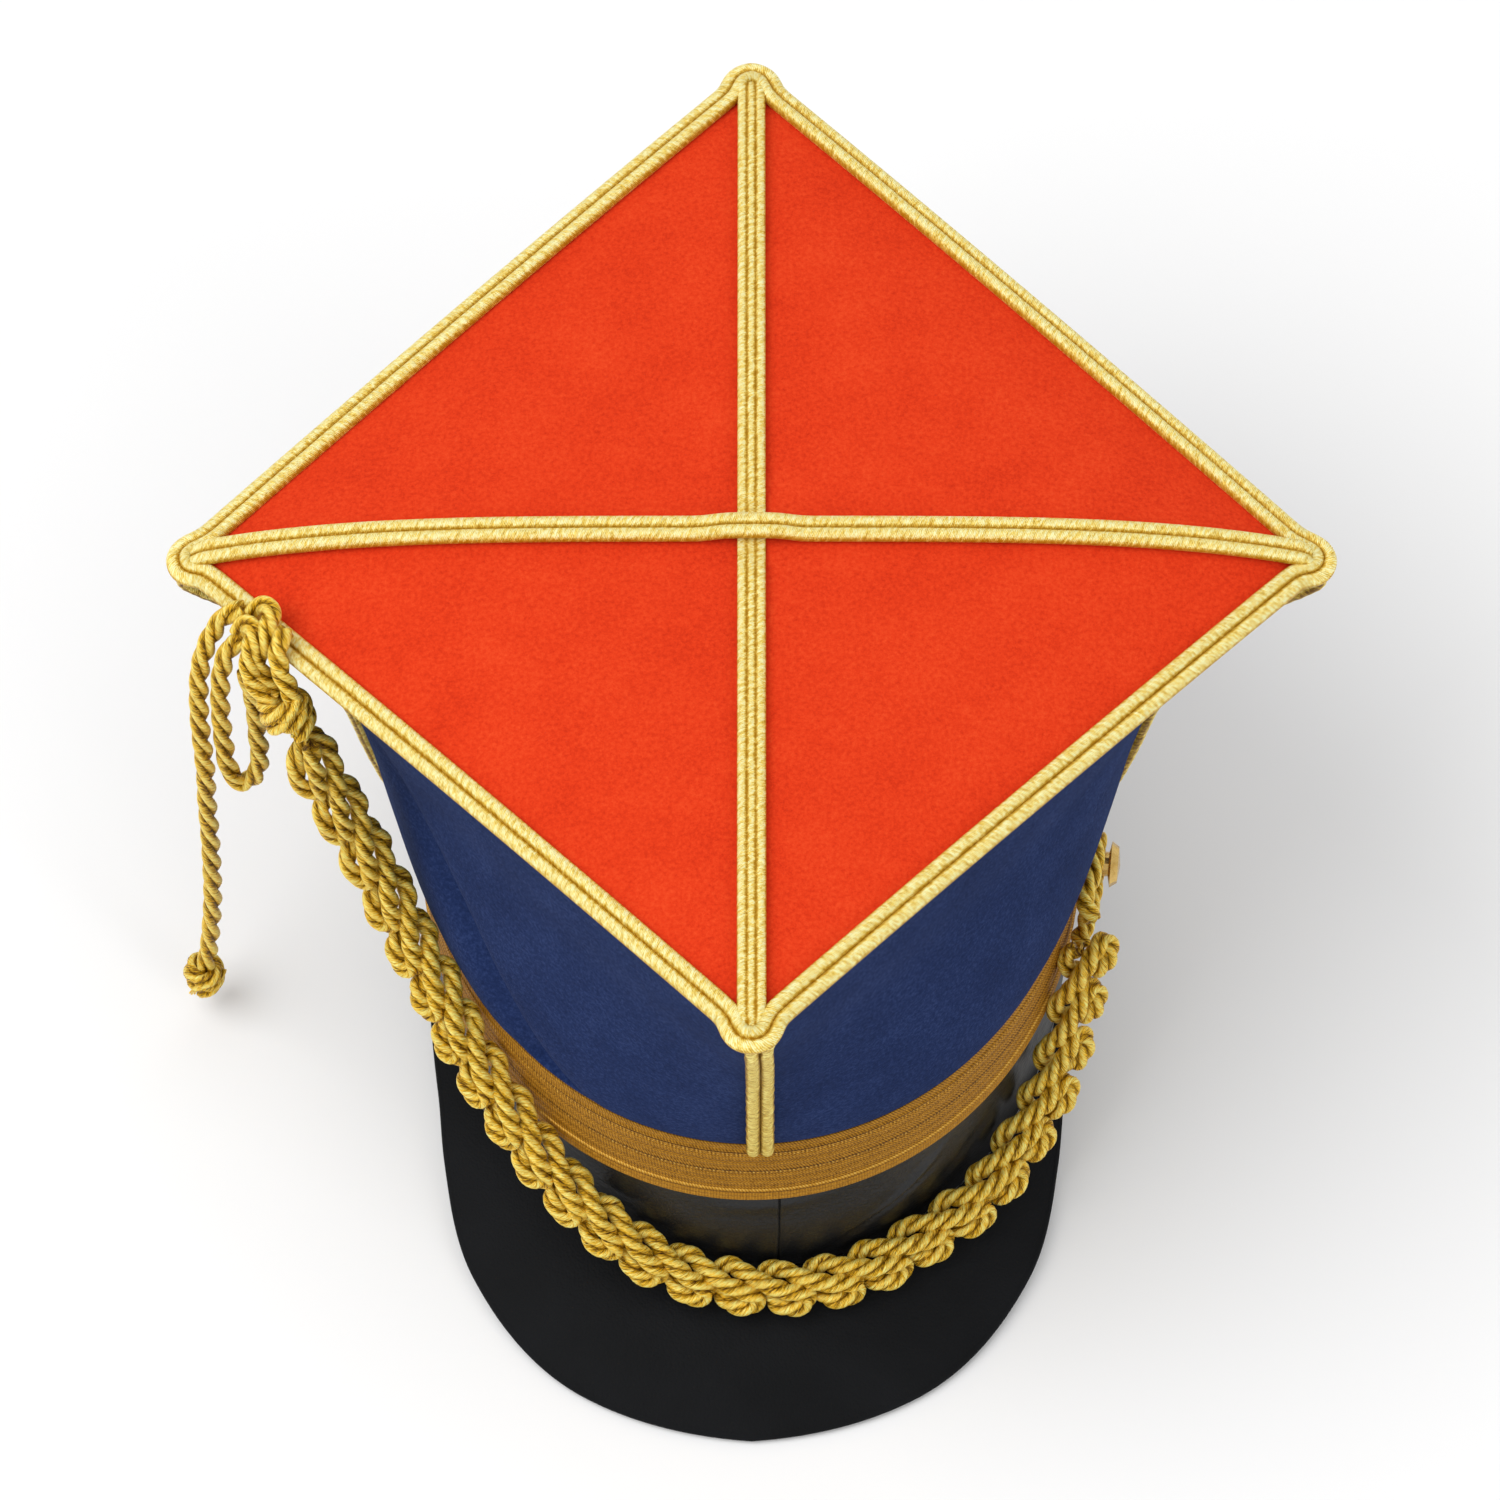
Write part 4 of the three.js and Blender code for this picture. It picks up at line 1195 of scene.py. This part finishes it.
# Lamps: place, diameter and power, and the point at which they look
LAMPS = {"key": ((-1.1, -0.3, 2.1), 1.8, 27), "fill": ((1.6, -1.4, 1.6), 1.4, 8)}
LAMP_AIM = Vector((0, 0, 0.1))


def camera():
    data = bpy.data.cameras.new("camera")
    data.lens = CAMERA_LENS
    data.clip_end = 20
    made = bpy.data.objects.new("camera", data)
    back = Vector((0, -np.cos(CAMERA_ELEVATION), np.sin(CAMERA_ELEVATION)))
    made.location = CAMERA_TARGET + back * CAMERA_DISTANCE
    made.rotation_euler = back.to_track_quat("Z", "Y").to_euler()
    bpy.context.scene.collection.objects.link(made)
    bpy.context.scene.camera = made


def lamp(name, place, size, power):
    data = bpy.data.lights.new(name, "AREA")
    data.shape = "DISK"
    data.size = size
    data.energy = power
    made = bpy.data.objects.new(name, data)
    made.location = place
    made.rotation_euler = (Vector(place) - LAMP_AIM).to_track_quat("Z", "Y").to_euler()
    bpy.context.scene.collection.objects.link(made)


def studio():
    """A pale floor, an even sky and two round lamps."""
    mesh = bpy.data.meshes.new("floor")
    corners = np.array([(-1, -1, 0), (1, -1, 0), (1, 1, 0), (-1, 1, 0)]) * FLOOR_HALF
    mesh.from_pydata(corners, [], [(0, 1, 2, 3)])
    pale = Finish("pale_floor", Roughness=0.9, Specular_IOR_Level=0.2)
    clouds = pale.noise(pale.place(), FLOOR_CLOUDS)
    pale.colour(pale.ramp(clouds, (0, (0.93, 0.93, 0.93)), (1, (0.95, 0.95, 0.95))))
    mesh.materials.append(pale.material)
    floor = bpy.data.objects.new("floor", mesh)
    bpy.context.scene.collection.objects.link(floor)
    world = bpy.data.worlds.new("studio")
    bpy.context.scene.world = world
    world.use_nodes = True
    world.node_tree.nodes["Background"].inputs["Color"].default_value = (1, 1, 1, 1)
    world.node_tree.nodes["Background"].inputs["Strength"].default_value = SKY_STRENGTH
    for name, (place, size, power) in LAMPS.items():
        lamp(name, place, size, power)
    bpy.context.scene.view_settings.view_transform = "Standard"


camera()
cords()
cap()
studio()
